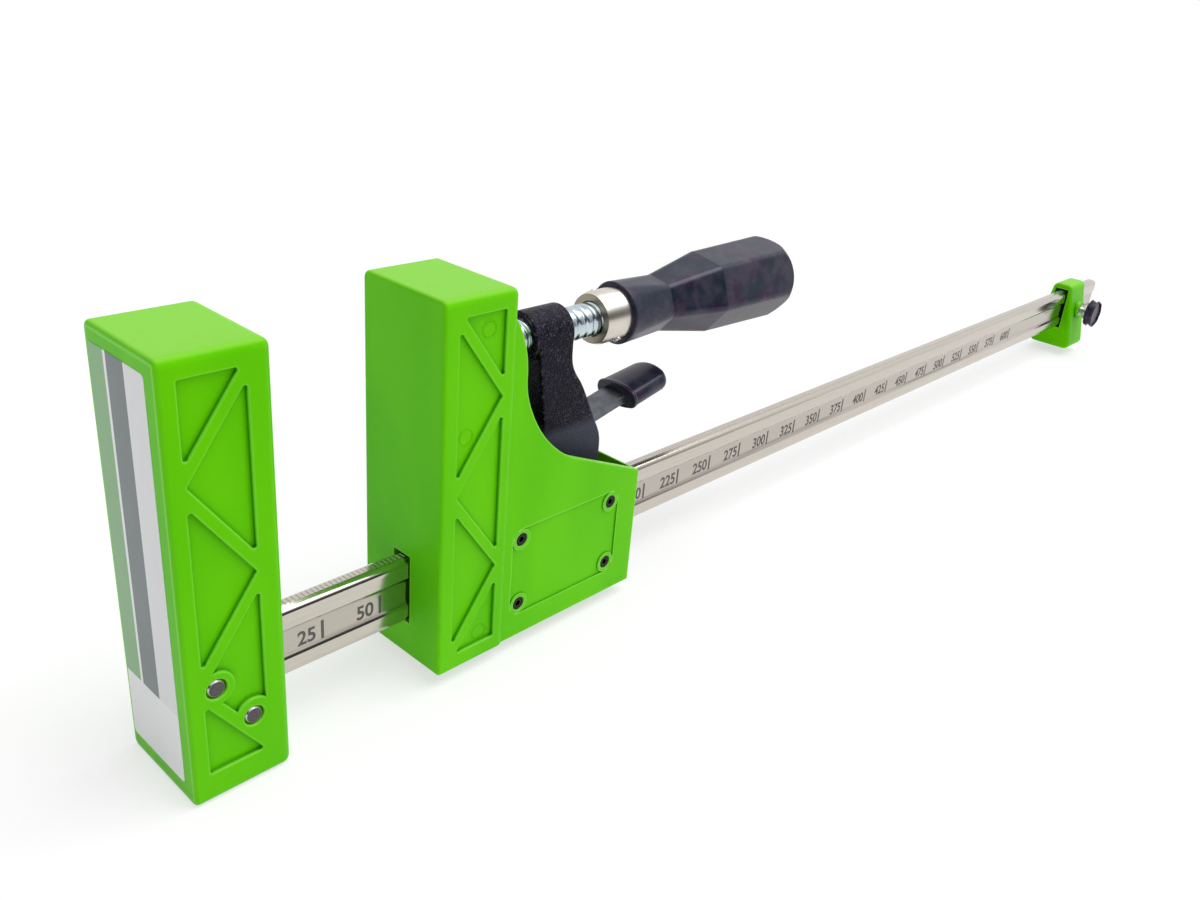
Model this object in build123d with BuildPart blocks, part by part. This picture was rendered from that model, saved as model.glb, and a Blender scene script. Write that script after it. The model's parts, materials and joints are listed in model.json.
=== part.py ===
from build123d import *
from math import atan2, cos, degrees, hypot, pi, radians, sin
import os

os.makedirs("parts", exist_ok=True)

# Panel clamp with parallel jaws on a flat steel rail, all sizes in millimetres.
# The origin is the centre of the fixed jaw's clamping face. +X runs along the rail
# from that face to the rail's free end, +Z is up, and heights named below are
# measured from the fixed jaw's foot.

# Rail
rail_thickness = 8.9
rail_height = 28.0
rail_foot_height = 20.9
rail_crown = 1.0
rail_crown_half = 1.7
rail_tongue = 31.0
rail_reach = 757.5
rail_edge_radius = 0.4
rail_groove_depth = 0.75
rail_groove_height = 10.2
rail_groove_foot_height = 29.5
rail_groove_bevel = 1.2

# Fixed jaw
fixed_jaw_depth = 35.1
fixed_jaw_width = 43.5
fixed_jaw_height = 155.0
jaw_edge_radius = 3.0
jaw_crisp_radius = 1.4
cover_wall = 3.0
back_rim = 1.9
back_plate_thickness = 2.2
back_plate_clearance = 0.05
core_clearance = 0.3
core_rail_side = 0.85
core_flange = 4.0
core_web = 12.0
core_rib = 5.0
jaw_slot_clearance = 0.15
jaw_pin_radius = 3.25
jaw_pin_clearance = 0.35
jaw_pin_chamfer = 0.6
jaw_pin_recess = 0.3
rear_pin_boss_radius = 6.3
front_pin_boss_radius = 7.1
rear_pin_setback = 25.1
rear_pin_height = 43.2
front_pin_setback = 13.0
front_pin_height = 26.6

# Truss pattern sunk into both sides of both jaws
truss_depth = 1.7
truss_corner_radius = 0.8
truss_rim = 0.35
truss_margin_low = 11.5
truss_margin_high = 6.8
truss_strut = 4.2
truss_overrun = 2.2
truss_pitch = 35.1
truss_first_height = 150.4
fixed_truss_front = 8.5
fixed_truss_back = 29.5
moving_truss_front = 6.5
moving_truss_back = 27.5

# Moving jaw, shown as opened in the rest pose
jaw_opening = 62.8
moving_jaw_depth = 33.6
moving_jaw_width = 45.8
moving_jaw_height = 149.4
moving_jaw_lift = 5.2
wing_step = 1.0
wing_lift = 0.8
wing_length = 75.6
wing_wall = 2.5
wing_rear_height = 61.0
wing_edge_radius = 0.5
rear_wall_height = 139.0
wing_brow_height = 142.0
wing_brow_middle = (4.5, 131.5)
wing_sweep = [(6.1, 119.0), (9.2, 105.4), (18.0, 91.3), (28.5, 82.0), (37.2, 77.4)]
rail_slot_side = 0.55
rail_slot_above = 1.4
rail_slot_below = 0.5

# Access panel and its screws on both sides of the wing
panel_front = 3.3
panel_length = 60.6
panel_height = 39.0
panel_foot_height = 16.3
panel_depth = 0.6
panel_corner_radius = 5.0
screw_inset = 4.7
screw_boss_radius = 4.6
screw_head_radius = 2.8
screw_head_height = 1.8
screw_head_recess = 0.3
screw_head_clearance = 0.2
screw_shank_radius = 1.6
screw_shank_clearance = 0.15
screw_length = 7.0
screw_socket_width = 2.5
screw_socket_depth = 1.1

# Nylon guide plates that the screws hold inside the wing
guide_plate_thickness = 3.8
guide_margin = 0.6
guide_rib_height = 3.4
guide_rib_inset = 1.2
guide_boss_radius = 3.6
arm_side_clearance = 0.3

# Cast sliding arm
arm_width = 20.0
boss_radius = 10.0
boss_front = 118.0
boss_length = 21.0
arm_front = 112.5
arm_bottom_height = 12.5
arm_edge_radius = 1.1
arm_rail_side = 0.5
arm_rail_above = 0.5
arm_rail_below = 0.4
arm_heel = 152.5
arm_heel_height = 62.5
arm_back = 159.2
arm_neck_inset = 2.5
arm_waist = 124.6
arm_waist_height = 90.0
arm_flare_height = 56.0
arm_throat = [(138.6, 118.0), (144.4, 104.2), (154.4, 85.4), (159.2, 72.0)]
boss_edge = 0.8

# Spindle
spindle_height = 125.3
spindle_radius = 7.0
spindle_bore_clearance = 0.08
spindle_head_length = 10.7
spindle_head_chamfer = 1.5
spindle_neck_radius = 5.0
spindle_neck_length = 4.3
spindle_end = 214.0
thrust_clearance = 0.3
retainer_thickness = 3.0
retainer_width = 25.0
retainer_height = 25.0
retainer_slot_clearance = 0.25
retainer_screw_side = 8.6
retainer_screw_rise = 7.4
retainer_screw_head_radius = 2.4
retainer_screw_head_height = 1.6
retainer_screw_length = 9.0

# Ferrule and handle
ferrule_front = 157.5
ferrule_radius = 11.1
ferrule_length = 32.0
ferrule_mouth_radius = 7.4
ferrule_mouth_depth = 2.5
ferrule_edge = 0.8
ferrule_edge_run = 2.4
cross_pin_radius = 1.75
cross_pin_place = 8.8
cross_pin_proud = 0.9
cross_pin_turn = 46.0
cross_pin_edge = 0.6
handle_front = 171.0
handle_neck_end = 197.0
handle_swell_start = 228.0
handle_crown = 279.0
handle_end = 288.5
handle_front_radius = 15.1
handle_neck_radius = 12.8
handle_swell_radius = 18.7
handle_crown_radius = 19.8
handle_facets = 6
handle_facet_turn = 10.0
handle_front_corner = 11.0
handle_corner_radius = 3.4
handle_socket_clearance = 0.1
handle_lip = 0.8
handle_dome_start = 270.0
handle_dome_middle = 282.5
handle_dome_shoulder = 14.8
handle_dome_margin = 0.2

# Trigger that frees the arm from the rail
trigger_pivot = 141.0
trigger_pivot_height = 60.5
trigger_pin_radius = 2.5
trigger_pin_clearance = 0.05
trigger_pin_edge = 0.4
trigger_eye_radius = 6.0
strap_width = 12.4
strap_thickness = 3.5
strap_bend_radius = 7.0
strap_knee = 149.0
strap_knee_height = 76.0
strap_rise = 158.0
strap_rise_height = 82.8
strap_level = 174.0
strap_level_height = 86.5
strap_tip = 197.0
strap_tip_height = 90.4
trigger_slot_clearance = 0.7
slot_front = 7.5
slot_lean = 5.5
slot_roof = 150.0
slot_roof_height = 95.0
toe_reach = 5.5
toe_clearance = 0.3
toe_back = 1.0
cap_front = 178.1
cap_length = 25.1
cap_front_half = 11.6
cap_rear_half = 9.5
cap_side_half = 1.6
cap_crown = 5.7
cap_plan_radius = 4.6
cap_edge_radius = 1.6
cap_crisp_radius = 0.6
leaf_thickness = 0.8
leaf_width = 8.0
leaf_seat_start = 2.5
leaf_seat_end = 9.0
leaf_bend_radius = 1.5
leaf_tip_back = 2.6
leaf_tip_drop = 0.6

# End stop on the rail's tail
stop_setback = 60.5
stop_length = 27.5
stop_foot_height = 5.2
stop_foot_half = 16.4
stop_shoulder_half = 7.6
stop_shoulder_height = 49.5
stop_top_height = 54.6
stop_edge_radius = 2.2
stop_top_radius = 4.6
stop_foot_radius = 4.0
stop_slot_side = 0.75
stop_slot_above = 1.9
stop_slot_below = 0.5
stop_boss_radius = 6.2
stop_boss_face = 13.2

# Thumb screw in the end stop
thumb_place = 14.0
thumb_radius = 2.95
thumb_bore_clearance = 0.08
thumb_insert_radius = 4.2
thumb_pad_radius = 4.0
thumb_pad_thickness = 1.5
thumb_pad_clearance = 0.1
thumb_pad_side = 0.3
thumb_pad_edge = 0.4
thumb_travel = 2.2
thumb_shaft_end = 24.5
knob_face = 19.4
knob_thickness = 6.2
knob_radius = 10.4
knob_flutes = 10
knob_flute_radius = 1.6
knob_edge_radius = 1.0
knob_hub_length = 2.4
knob_hub_radius = 5.4

# Places worked out from the sizes above
foot = -fixed_jaw_height / 2
rail_bottom = foot + rail_foot_height
rail_top = rail_bottom + rail_height
rail_middle = rail_bottom + rail_height / 2
rail_half = rail_thickness / 2
groove_middle = foot + rail_groove_foot_height + rail_groove_height / 2
rear_pin = (-rear_pin_setback, foot + rear_pin_height)
front_pin = (-front_pin_setback, foot + front_pin_height)
fixed_half = fixed_jaw_width / 2
moving_foot = foot + moving_jaw_lift
moving_top = moving_foot + moving_jaw_height
moving_half = moving_jaw_width / 2
moving_back = jaw_opening + moving_jaw_depth
wing_half = moving_half - wing_step
wing_foot = moving_foot + wing_lift
wing_back = moving_back + wing_length
channel_half = wing_half - wing_wall
spindle_axis = foot + spindle_height
arm_half = arm_width / 2
boss_back = boss_front + boss_length
core_back = moving_back - cover_wall - core_clearance
retainer_back = core_back + retainer_thickness
stop_front = rail_reach - stop_setback


def truss_sketch(front, back, start, low, high, mirrored):
    """Truss pockets between two uprights: a framed rectangle less a zigzag of struts."""
    with Locations(((front + back) / 2, (low + high) / 2)):
        Rectangle(abs(back - front), high - low)
    outward = 1 if back > front else -1
    sides = (front - outward * truss_overrun, back + outward * truss_overrun)
    count = int((start - low) / truss_pitch) + 2
    first = 1 if mirrored else 0
    nodes = [(sides[(i + first) % 2], start - i * truss_pitch) for i in range(count + 1)]
    for (x0, z0), (x1, z1) in zip(nodes, nodes[1:]):
        slope = degrees(atan2(z1 - z0, x1 - x0))
        with Locations(Location(((x0 + x1) / 2, (z0 + z1) / 2), slope)):
            Rectangle(hypot(x1 - x0, z1 - z0) + truss_strut, truss_strut, mode=Mode.SUBTRACT)


def pocket_rims(jaw):
    """Edges where pockets and holes break through the outer side faces of a jaw."""
    sides = jaw.faces().sort_by(Axis.Y)
    return [e for face in (sides[0], sides[-1]) for w in face.inner_wires() for e in w.edges()]


# Rail, a flat bar with a shallow groove along each side
with BuildPart() as rail:
    with BuildSketch(Plane.YZ.offset(-rail_tongue)) as rail_section:
        with BuildLine():
            Polyline(
                (-rail_crown_half, rail_top),
                (rail_crown_half, rail_top),
                (rail_half, rail_top - rail_crown),
                (rail_half, rail_bottom + rail_crown),
                (rail_crown_half, rail_bottom),
                (-rail_crown_half, rail_bottom),
                (-rail_half, rail_bottom + rail_crown),
                (-rail_half, rail_top - rail_crown),
                close=True,
            )
        make_face()
        fillet(rail_section.vertices(), radius=rail_edge_radius)
        for side in (1, -1):
            with BuildLine():
                Polyline(
                    (side * (rail_half + 1), groove_middle + rail_groove_height / 2 + rail_groove_bevel),
                    (side * rail_half, groove_middle + rail_groove_height / 2 + rail_groove_bevel),
                    (side * (rail_half - rail_groove_depth), groove_middle + rail_groove_height / 2),
                    (side * (rail_half - rail_groove_depth), groove_middle - rail_groove_height / 2),
                    (side * rail_half, groove_middle - rail_groove_height / 2 - rail_groove_bevel),
                    (side * (rail_half + 1), groove_middle - rail_groove_height / 2 - rail_groove_bevel),
                    close=True,
                )
            make_face(mode=Mode.SUBTRACT)
    extrude(amount=rail_tongue + rail_reach)
    with BuildSketch(Plane.XZ):
        with Locations(rear_pin, front_pin):
            Circle(jaw_pin_radius)
    extrude(amount=rail_thickness, both=True, mode=Mode.SUBTRACT)
rail.part.label = "rail"
export_step(rail.part, "parts/rail.step")

# Fixed jaw cover, a deep moulded box open at the back
with BuildPart() as fixed_jaw_cover:
    with BuildSketch(Plane.XY.offset(foot)):
        with Locations((-fixed_jaw_depth / 2, 0)):
            Rectangle(fixed_jaw_depth, fixed_jaw_width)
    extrude(amount=fixed_jaw_height)
    back_loop = fixed_jaw_cover.faces().sort_by(Axis.X)[0].edges()
    fillet([e for e in fixed_jaw_cover.edges() if e not in back_loop], radius=jaw_edge_radius)
    fillet(fixed_jaw_cover.faces().sort_by(Axis.X)[0].edges(), radius=jaw_crisp_radius)
    with BuildSketch(Plane.YZ.offset(-cover_wall)):
        Rectangle(fixed_jaw_width - 2 * cover_wall, fixed_jaw_height - 2 * cover_wall)
    extrude(amount=-fixed_jaw_depth, mode=Mode.SUBTRACT)
    with BuildSketch(Plane.YZ.offset(-fixed_jaw_depth + back_plate_thickness)):
        Rectangle(fixed_jaw_width - 2 * back_rim, fixed_jaw_height - 2 * back_rim)
    extrude(amount=-back_plate_thickness, mode=Mode.SUBTRACT)
    with BuildSketch(Plane.YZ.offset(-cover_wall)):
        with Locations((0, rail_middle)):
            Rectangle(rail_thickness + 2 * jaw_slot_clearance, rail_height + 2 * jaw_slot_clearance)
    extrude(amount=cover_wall, mode=Mode.SUBTRACT)
    with BuildSketch(Plane.XZ):
        with Locations(rear_pin, front_pin):
            Circle(jaw_pin_radius + jaw_pin_clearance)
    extrude(amount=fixed_jaw_width, both=True, mode=Mode.SUBTRACT)
    for side in (1, -1):
        with BuildSketch(Plane.XZ.offset(side * fixed_half)) as fixed_truss:
            truss_sketch(
                -fixed_truss_front,
                -fixed_truss_back,
                foot + truss_first_height,
                foot + truss_margin_low,
                foot + fixed_jaw_height - truss_margin_high,
                False,
            )
            fillet(fixed_truss.vertices(), radius=truss_corner_radius)
            lowest_pocket = fixed_truss.faces().sort_by(Axis.Y)[0]
            with Locations(rear_pin):
                Circle(rear_pin_boss_radius, mode=Mode.SUBTRACT)
            with Locations(front_pin):
                Circle(front_pin_boss_radius, mode=Mode.SUBTRACT)
                Rectangle(
                    front_pin_setback,
                    2 * front_pin_boss_radius,
                    align=(Align.MIN, Align.MAX),
                    mode=Mode.SUBTRACT,
                )
            add(lowest_pocket)
        extrude(amount=-side * truss_depth, mode=Mode.SUBTRACT)
    chamfer(pocket_rims(fixed_jaw_cover), length=truss_rim)
fixed_jaw_cover.part.label = "fixed_jaw_cover"
export_step(fixed_jaw_cover.part, "parts/fixed_jaw_cover.step")

# Back plate that closes the fixed jaw
with BuildPart() as fixed_jaw_back_plate:
    with BuildSketch(Plane.YZ.offset(-fixed_jaw_depth)):
        Rectangle(
            fixed_jaw_width - 2 * (back_rim + back_plate_clearance),
            fixed_jaw_height - 2 * (back_rim + back_plate_clearance),
        )
    extrude(amount=back_plate_thickness)
fixed_jaw_back_plate.part.label = "fixed_jaw_back_plate"
export_step(fixed_jaw_back_plate.part, "parts/fixed_jaw_back_plate.step")

# Fixed jaw core, a cast I-section post that grips the rail's tongue
fixed_core_half = fixed_half - cover_wall - core_clearance
fixed_core_depth = fixed_jaw_depth - back_plate_thickness - cover_wall - core_clearance
fixed_core_height = fixed_jaw_height - 2 * (cover_wall + core_clearance)
fixed_rib_heights = [rail_top + core_rib + i * truss_pitch for i in range(3)]
with BuildPart() as fixed_jaw_core:
    with BuildSketch(Plane.YZ.offset(-cover_wall - core_clearance)):
        Rectangle(2 * fixed_core_half, fixed_core_height)
    extrude(amount=-fixed_core_depth)
    for side in (1, -1):
        with BuildSketch(Plane.XZ.offset(side * fixed_core_half)) as core_pocket:
            with Locations((-cover_wall - core_clearance - fixed_core_depth / 2, rail_top + core_rib)):
                Rectangle(
                    fixed_core_depth - 2 * core_flange,
                    fixed_core_height / 2 - core_flange - rail_top - core_rib,
                    align=(Align.CENTER, Align.MIN),
                )
            for height in fixed_rib_heights[1:]:
                with Locations((-cover_wall - core_clearance - fixed_core_depth / 2, height)):
                    Rectangle(fixed_core_depth, core_rib, mode=Mode.SUBTRACT)
        extrude(amount=-side * (fixed_core_half - core_web / 2), mode=Mode.SUBTRACT)
    with BuildSketch(Plane.YZ.offset(-rail_tongue)) as core_rail_slot:
        with Locations((0, rail_middle)):
            Rectangle(rail_thickness, rail_height)
    extrude(amount=rail_tongue, mode=Mode.SUBTRACT)
    with BuildSketch(Plane.XZ):
        with Locations(rear_pin, front_pin):
            Circle(jaw_pin_radius)
    extrude(amount=fixed_jaw_width, both=True, mode=Mode.SUBTRACT)
fixed_jaw_core.part.label = "fixed_jaw_core"
export_step(fixed_jaw_core.part, "parts/fixed_jaw_core.step")

# Two steel pins through cover, core and rail
with BuildPart() as fixed_jaw_pins:
    with BuildSketch(Plane.XZ.offset(fixed_half - jaw_pin_recess)):
        with Locations(rear_pin, front_pin):
            Circle(jaw_pin_radius)
    extrude(amount=-2 * (fixed_half - jaw_pin_recess))
    chamfer(fixed_jaw_pins.edges().filter_by(GeomType.CIRCLE), length=jaw_pin_chamfer)
fixed_jaw_pins.part.label = "fixed_jaw_pins"
export_step(fixed_jaw_pins.part, "parts/fixed_jaw_pins.step")

# Moving jaw cover, a jaw box with a U-shaped wing moulded on behind it
brow_start = (moving_back, foot + wing_brow_height)
brow_middle = (moving_back + wing_brow_middle[0], foot + wing_brow_middle[1])
sweep_points = [(moving_back + reach, foot + height) for reach, height in wing_sweep]
wing_tail = (wing_back, foot + wing_rear_height)
panel_x = moving_back + panel_front + panel_length / 2
panel_z = foot + panel_foot_height + panel_height / 2
screw_places = [
    (panel_x + i * (panel_length / 2 - screw_inset), panel_z + j * (panel_height / 2 - screw_inset))
    for i in (-1, 1)
    for j in (-1, 1)
]
with BuildPart() as moving_jaw_cover:
    with BuildSketch(Plane.XY.offset(moving_foot)):
        with Locations((jaw_opening + moving_jaw_depth / 2, 0)):
            Rectangle(moving_jaw_depth, moving_jaw_width)
    extrude(amount=moving_jaw_height)
    face_loop = moving_jaw_cover.faces().sort_by(Axis.X)[0].edges()
    foot_loop = moving_jaw_cover.faces().sort_by(Axis.Z)[0].edges()
    crisp = [e for e in moving_jaw_cover.edges() if e in face_loop or e in foot_loop]
    fillet([e for e in moving_jaw_cover.edges() if e not in crisp], radius=jaw_edge_radius)
    fillet(
        moving_jaw_cover.faces().sort_by(Axis.X)[0].edges()
        + moving_jaw_cover.faces().sort_by(Axis.Z)[0].edges(),
        radius=jaw_crisp_radius,
    )
    with BuildSketch(Plane.XZ.offset(-wing_half)) as wing_profile:
        with BuildLine():
            brow = ThreePointArc(brow_start, brow_middle, sweep_points[0])
            slope = (wing_tail[0] - sweep_points[-1][0], wing_tail[1] - sweep_points[-1][1])
            Spline(sweep_points, tangents=(brow % 1, slope))
            Polyline(
                sweep_points[-1],
                wing_tail,
                (wing_back, wing_foot),
                (moving_back - cover_wall, wing_foot),
                (moving_back - cover_wall, brow_start[1]),
                brow_start,
            )
        make_face()
    extrude(amount=2 * wing_half)
    fillet(
        moving_jaw_cover.edges().filter_by(Axis.Y).group_by(Axis.X)[-1],
        radius=wing_edge_radius,
    )
    with BuildSketch(Plane.XZ.offset(-channel_half)):
        with Locations((jaw_opening + cover_wall, moving_foot + cover_wall)):
            Rectangle(
                moving_jaw_depth - 2 * cover_wall,
                moving_jaw_height - 2 * cover_wall,
                align=(Align.MIN, Align.MIN),
            )
        with Locations((moving_back - cover_wall, wing_foot + wing_wall)):
            Rectangle(
                wing_length + cover_wall - wing_wall,
                foot + rear_wall_height - wing_foot - wing_wall,
                align=(Align.MIN, Align.MIN),
            )
    extrude(amount=2 * channel_half, mode=Mode.SUBTRACT)
    with BuildSketch(Plane.YZ.offset(jaw_opening)):
        with Locations((0, rail_bottom - rail_slot_below)):
            Rectangle(
                rail_thickness + 2 * rail_slot_side,
                rail_height + rail_slot_below + rail_slot_above,
                align=(Align.CENTER, Align.MIN),
            )
    extrude(amount=moving_jaw_depth + wing_length, mode=Mode.SUBTRACT)
    for side in (1, -1):
        with BuildSketch(Plane.XZ.offset(side * moving_half)) as moving_truss:
            truss_sketch(
                jaw_opening + moving_truss_front,
                jaw_opening + moving_truss_back,
                foot + truss_first_height,
                foot + truss_margin_low + wing_lift,
                moving_top - truss_margin_high,
                False,
            )
            fillet(moving_truss.vertices(), radius=truss_corner_radius)
        extrude(amount=-side * truss_depth, mode=Mode.SUBTRACT)
    chamfer(pocket_rims(moving_jaw_cover), length=truss_rim)
    for side in (1, -1):
        with BuildSketch(Plane.XZ.offset(side * wing_half)) as panel:
            with Locations((panel_x, panel_z)):
                RectangleRounded(panel_length, panel_height, panel_corner_radius)
            with Locations(screw_places):
                Circle(screw_boss_radius, mode=Mode.SUBTRACT)
        extrude(amount=-side * panel_depth, mode=Mode.SUBTRACT)
        with BuildSketch(Plane.XZ.offset(side * wing_half)):
            with Locations(screw_places):
                Circle(screw_head_radius + screw_head_clearance)
        extrude(amount=-side * screw_head_height, mode=Mode.SUBTRACT)
        with BuildSketch(Plane.XZ.offset(side * wing_half)):
            with Locations(screw_places):
                Circle(screw_shank_radius + screw_shank_clearance)
        extrude(amount=-side * wing_wall, mode=Mode.SUBTRACT)
moving_jaw_cover.part.label = "moving_jaw_cover"
export_step(moving_jaw_cover.part, "parts/moving_jaw_cover.step")

# Moving jaw core, a cast I-section post with a socket for the spindle's head
moving_core_half = channel_half - core_clearance
moving_core_front = jaw_opening + cover_wall + core_clearance
moving_core_depth = core_back - moving_core_front
moving_core_bottom = moving_foot + cover_wall + core_clearance
moving_core_top = moving_top - cover_wall - core_clearance
spindle_head_back = core_back - thrust_clearance
spindle_head_front = spindle_head_back - spindle_head_length
socket_bottom = spindle_head_front - thrust_clearance
socket_rib = 2 * (spindle_radius + core_flange)
with BuildPart() as moving_jaw_core:
    with BuildSketch(Plane.YZ.offset(moving_core_front)):
        with Locations((0, moving_core_bottom)):
            Rectangle(
                2 * moving_core_half,
                moving_core_top - moving_core_bottom,
                align=(Align.CENTER, Align.MIN),
            )
    extrude(amount=moving_core_depth)
    for side in (1, -1):
        with BuildSketch(Plane.XZ.offset(side * moving_core_half)):
            with Locations((moving_core_front + moving_core_depth / 2, rail_top + core_rib)):
                Rectangle(
                    moving_core_depth - 2 * core_flange,
                    moving_core_top - core_flange - rail_top - core_rib,
                    align=(Align.CENTER, Align.MIN),
                )
            with Locations((moving_core_front + moving_core_depth / 2, spindle_axis)):
                Rectangle(moving_core_depth, socket_rib, mode=Mode.SUBTRACT)
            with Locations((moving_core_front + moving_core_depth / 2, (rail_top + spindle_axis) / 2)):
                Rectangle(moving_core_depth, core_rib, mode=Mode.SUBTRACT)
        extrude(amount=-side * (moving_core_half - core_web / 2), mode=Mode.SUBTRACT)
    with BuildSketch(Plane.YZ.offset(moving_core_front)):
        with Locations((0, rail_bottom - rail_slot_below)):
            Rectangle(
                rail_thickness + 2 * core_rail_side,
                rail_height + rail_slot_below + rail_slot_above,
                align=(Align.CENTER, Align.MIN),
            )
    extrude(amount=moving_core_depth, mode=Mode.SUBTRACT)
    with BuildSketch(Plane.YZ.offset(core_back)):
        with Locations((0, spindle_axis)):
            Circle(spindle_radius + thrust_clearance)
    extrude(amount=socket_bottom - core_back, mode=Mode.SUBTRACT)
    with BuildSketch(Plane.YZ.offset(core_back)):
        with Locations((0, spindle_axis + retainer_screw_rise)):
            with GridLocations(2 * retainer_screw_side, 0, 2, 1):
                Circle(screw_shank_radius)
    extrude(amount=retainer_thickness - retainer_screw_length, mode=Mode.SUBTRACT)
moving_jaw_core.part.label = "moving_jaw_core"
export_step(moving_jaw_core.part, "parts/moving_jaw_core.step")

# Horseshoe plate that holds the spindle's head in its socket
with BuildPart() as spindle_retainer:
    with BuildSketch(Plane.YZ.offset(core_back)) as retainer_outline:
        with Locations((0, spindle_axis)):
            Rectangle(retainer_width, retainer_height)
        fillet(retainer_outline.vertices(), radius=spindle_head_chamfer)
        with Locations((0, spindle_axis)):
            Circle(spindle_neck_radius + retainer_slot_clearance, mode=Mode.SUBTRACT)
            Rectangle(
                2 * (spindle_neck_radius + retainer_slot_clearance),
                retainer_height,
                align=(Align.CENTER, Align.MAX),
                mode=Mode.SUBTRACT,
            )
        with Locations((0, spindle_axis + retainer_screw_rise)):
            with GridLocations(2 * retainer_screw_side, 0, 2, 1):
                Circle(screw_shank_radius, mode=Mode.SUBTRACT)
    extrude(amount=retainer_thickness)
spindle_retainer.part.label = "spindle_retainer"
export_step(spindle_retainer.part, "parts/spindle_retainer.step")

# Two screws through the horseshoe plate into the core
with BuildPart() as retainer_screws:
    with BuildSketch(Plane.YZ.offset(retainer_back)):
        with Locations((0, spindle_axis + retainer_screw_rise)):
            with GridLocations(2 * retainer_screw_side, 0, 2, 1):
                Circle(retainer_screw_head_radius)
    extrude(amount=retainer_screw_head_height)
    with BuildSketch(Plane.YZ.offset(retainer_back)):
        with Locations((0, spindle_axis + retainer_screw_rise)):
            with GridLocations(2 * retainer_screw_side, 0, 2, 1):
                Circle(screw_shank_radius)
    extrude(amount=-retainer_screw_length)
    with BuildSketch(Plane.YZ.offset(retainer_back + retainer_screw_head_height)):
        with Locations((0, spindle_axis + retainer_screw_rise)):
            with GridLocations(2 * retainer_screw_side, 0, 2, 1):
                RegularPolygon(screw_socket_width / 2, 6, major_radius=False)
    extrude(amount=-screw_socket_depth, mode=Mode.SUBTRACT)
retainer_screws.part.label = "retainer_screws"
export_step(retainer_screws.part, "parts/retainer_screws.step")

# Nylon guides beside the arm and the screws that hold them, on both sides of the wing
guide_length = panel_length + 2 * guide_margin
guide_height = panel_height + 2 * guide_margin
guide_face = channel_half - guide_plate_thickness
rib_reach = guide_face - arm_half - arm_side_clearance
screw_tip = wing_half - screw_length - screw_head_recess
for side, name in ((1, "near"), (-1, "far")):
    with BuildPart() as guide_plate:
        with BuildSketch(Plane.XZ.offset(side * channel_half)):
            with Locations((panel_x, panel_z)):
                RectangleRounded(guide_length, guide_height, panel_corner_radius)
        extrude(amount=-side * guide_plate_thickness)
        with BuildSketch(Plane.XZ.offset(side * guide_face)):
            with Locations((panel_x, panel_z)):
                with GridLocations(0, guide_height - guide_rib_height - 2 * guide_rib_inset, 1, 2):
                    Rectangle(guide_length - 2 * panel_corner_radius, guide_rib_height)
        extrude(amount=-side * rib_reach)
        with BuildSketch(Plane.XZ.offset(side * guide_face)):
            with Locations(screw_places):
                Circle(guide_boss_radius)
        extrude(amount=-side * (guide_face - screw_tip + guide_margin))
        with BuildSketch(Plane.XZ.offset(side * channel_half)):
            with Locations(screw_places):
                Circle(screw_shank_radius)
        extrude(amount=-side * (channel_half - screw_tip), mode=Mode.SUBTRACT)
    guide_plate.part.label = "glide_plate_" + name
    export_step(guide_plate.part, "parts/glide_plate_" + name + ".step")
    with BuildPart() as cover_screws:
        with BuildSketch(Plane.XZ.offset(side * (wing_half - screw_head_recess))):
            with Locations(screw_places):
                Circle(screw_head_radius)
        extrude(amount=-side * (screw_head_height - screw_head_recess))
        with BuildSketch(Plane.XZ.offset(side * (wing_half - screw_head_recess))):
            with Locations(screw_places):
                Circle(screw_shank_radius)
        extrude(amount=-side * screw_length)
        with BuildSketch(Plane.XZ.offset(side * (wing_half - screw_head_recess))):
            with Locations(screw_places):
                RegularPolygon(screw_socket_width / 2, 6, major_radius=False)
        extrude(amount=-side * screw_socket_depth, mode=Mode.SUBTRACT)
    cover_screws.part.label = "cover_screws_" + name
    export_step(cover_screws.part, "parts/cover_screws_" + name + ".step")

# Nut boss of the sliding arm
with BuildPart() as arm_boss:
    with BuildSketch(Plane.YZ.offset(boss_front)):
        with Locations((0, spindle_axis)):
            Circle(boss_radius)
    extrude(amount=boss_length)
    chamfer(arm_boss.edges().filter_by(GeomType.CIRCLE), length=boss_edge)

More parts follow.
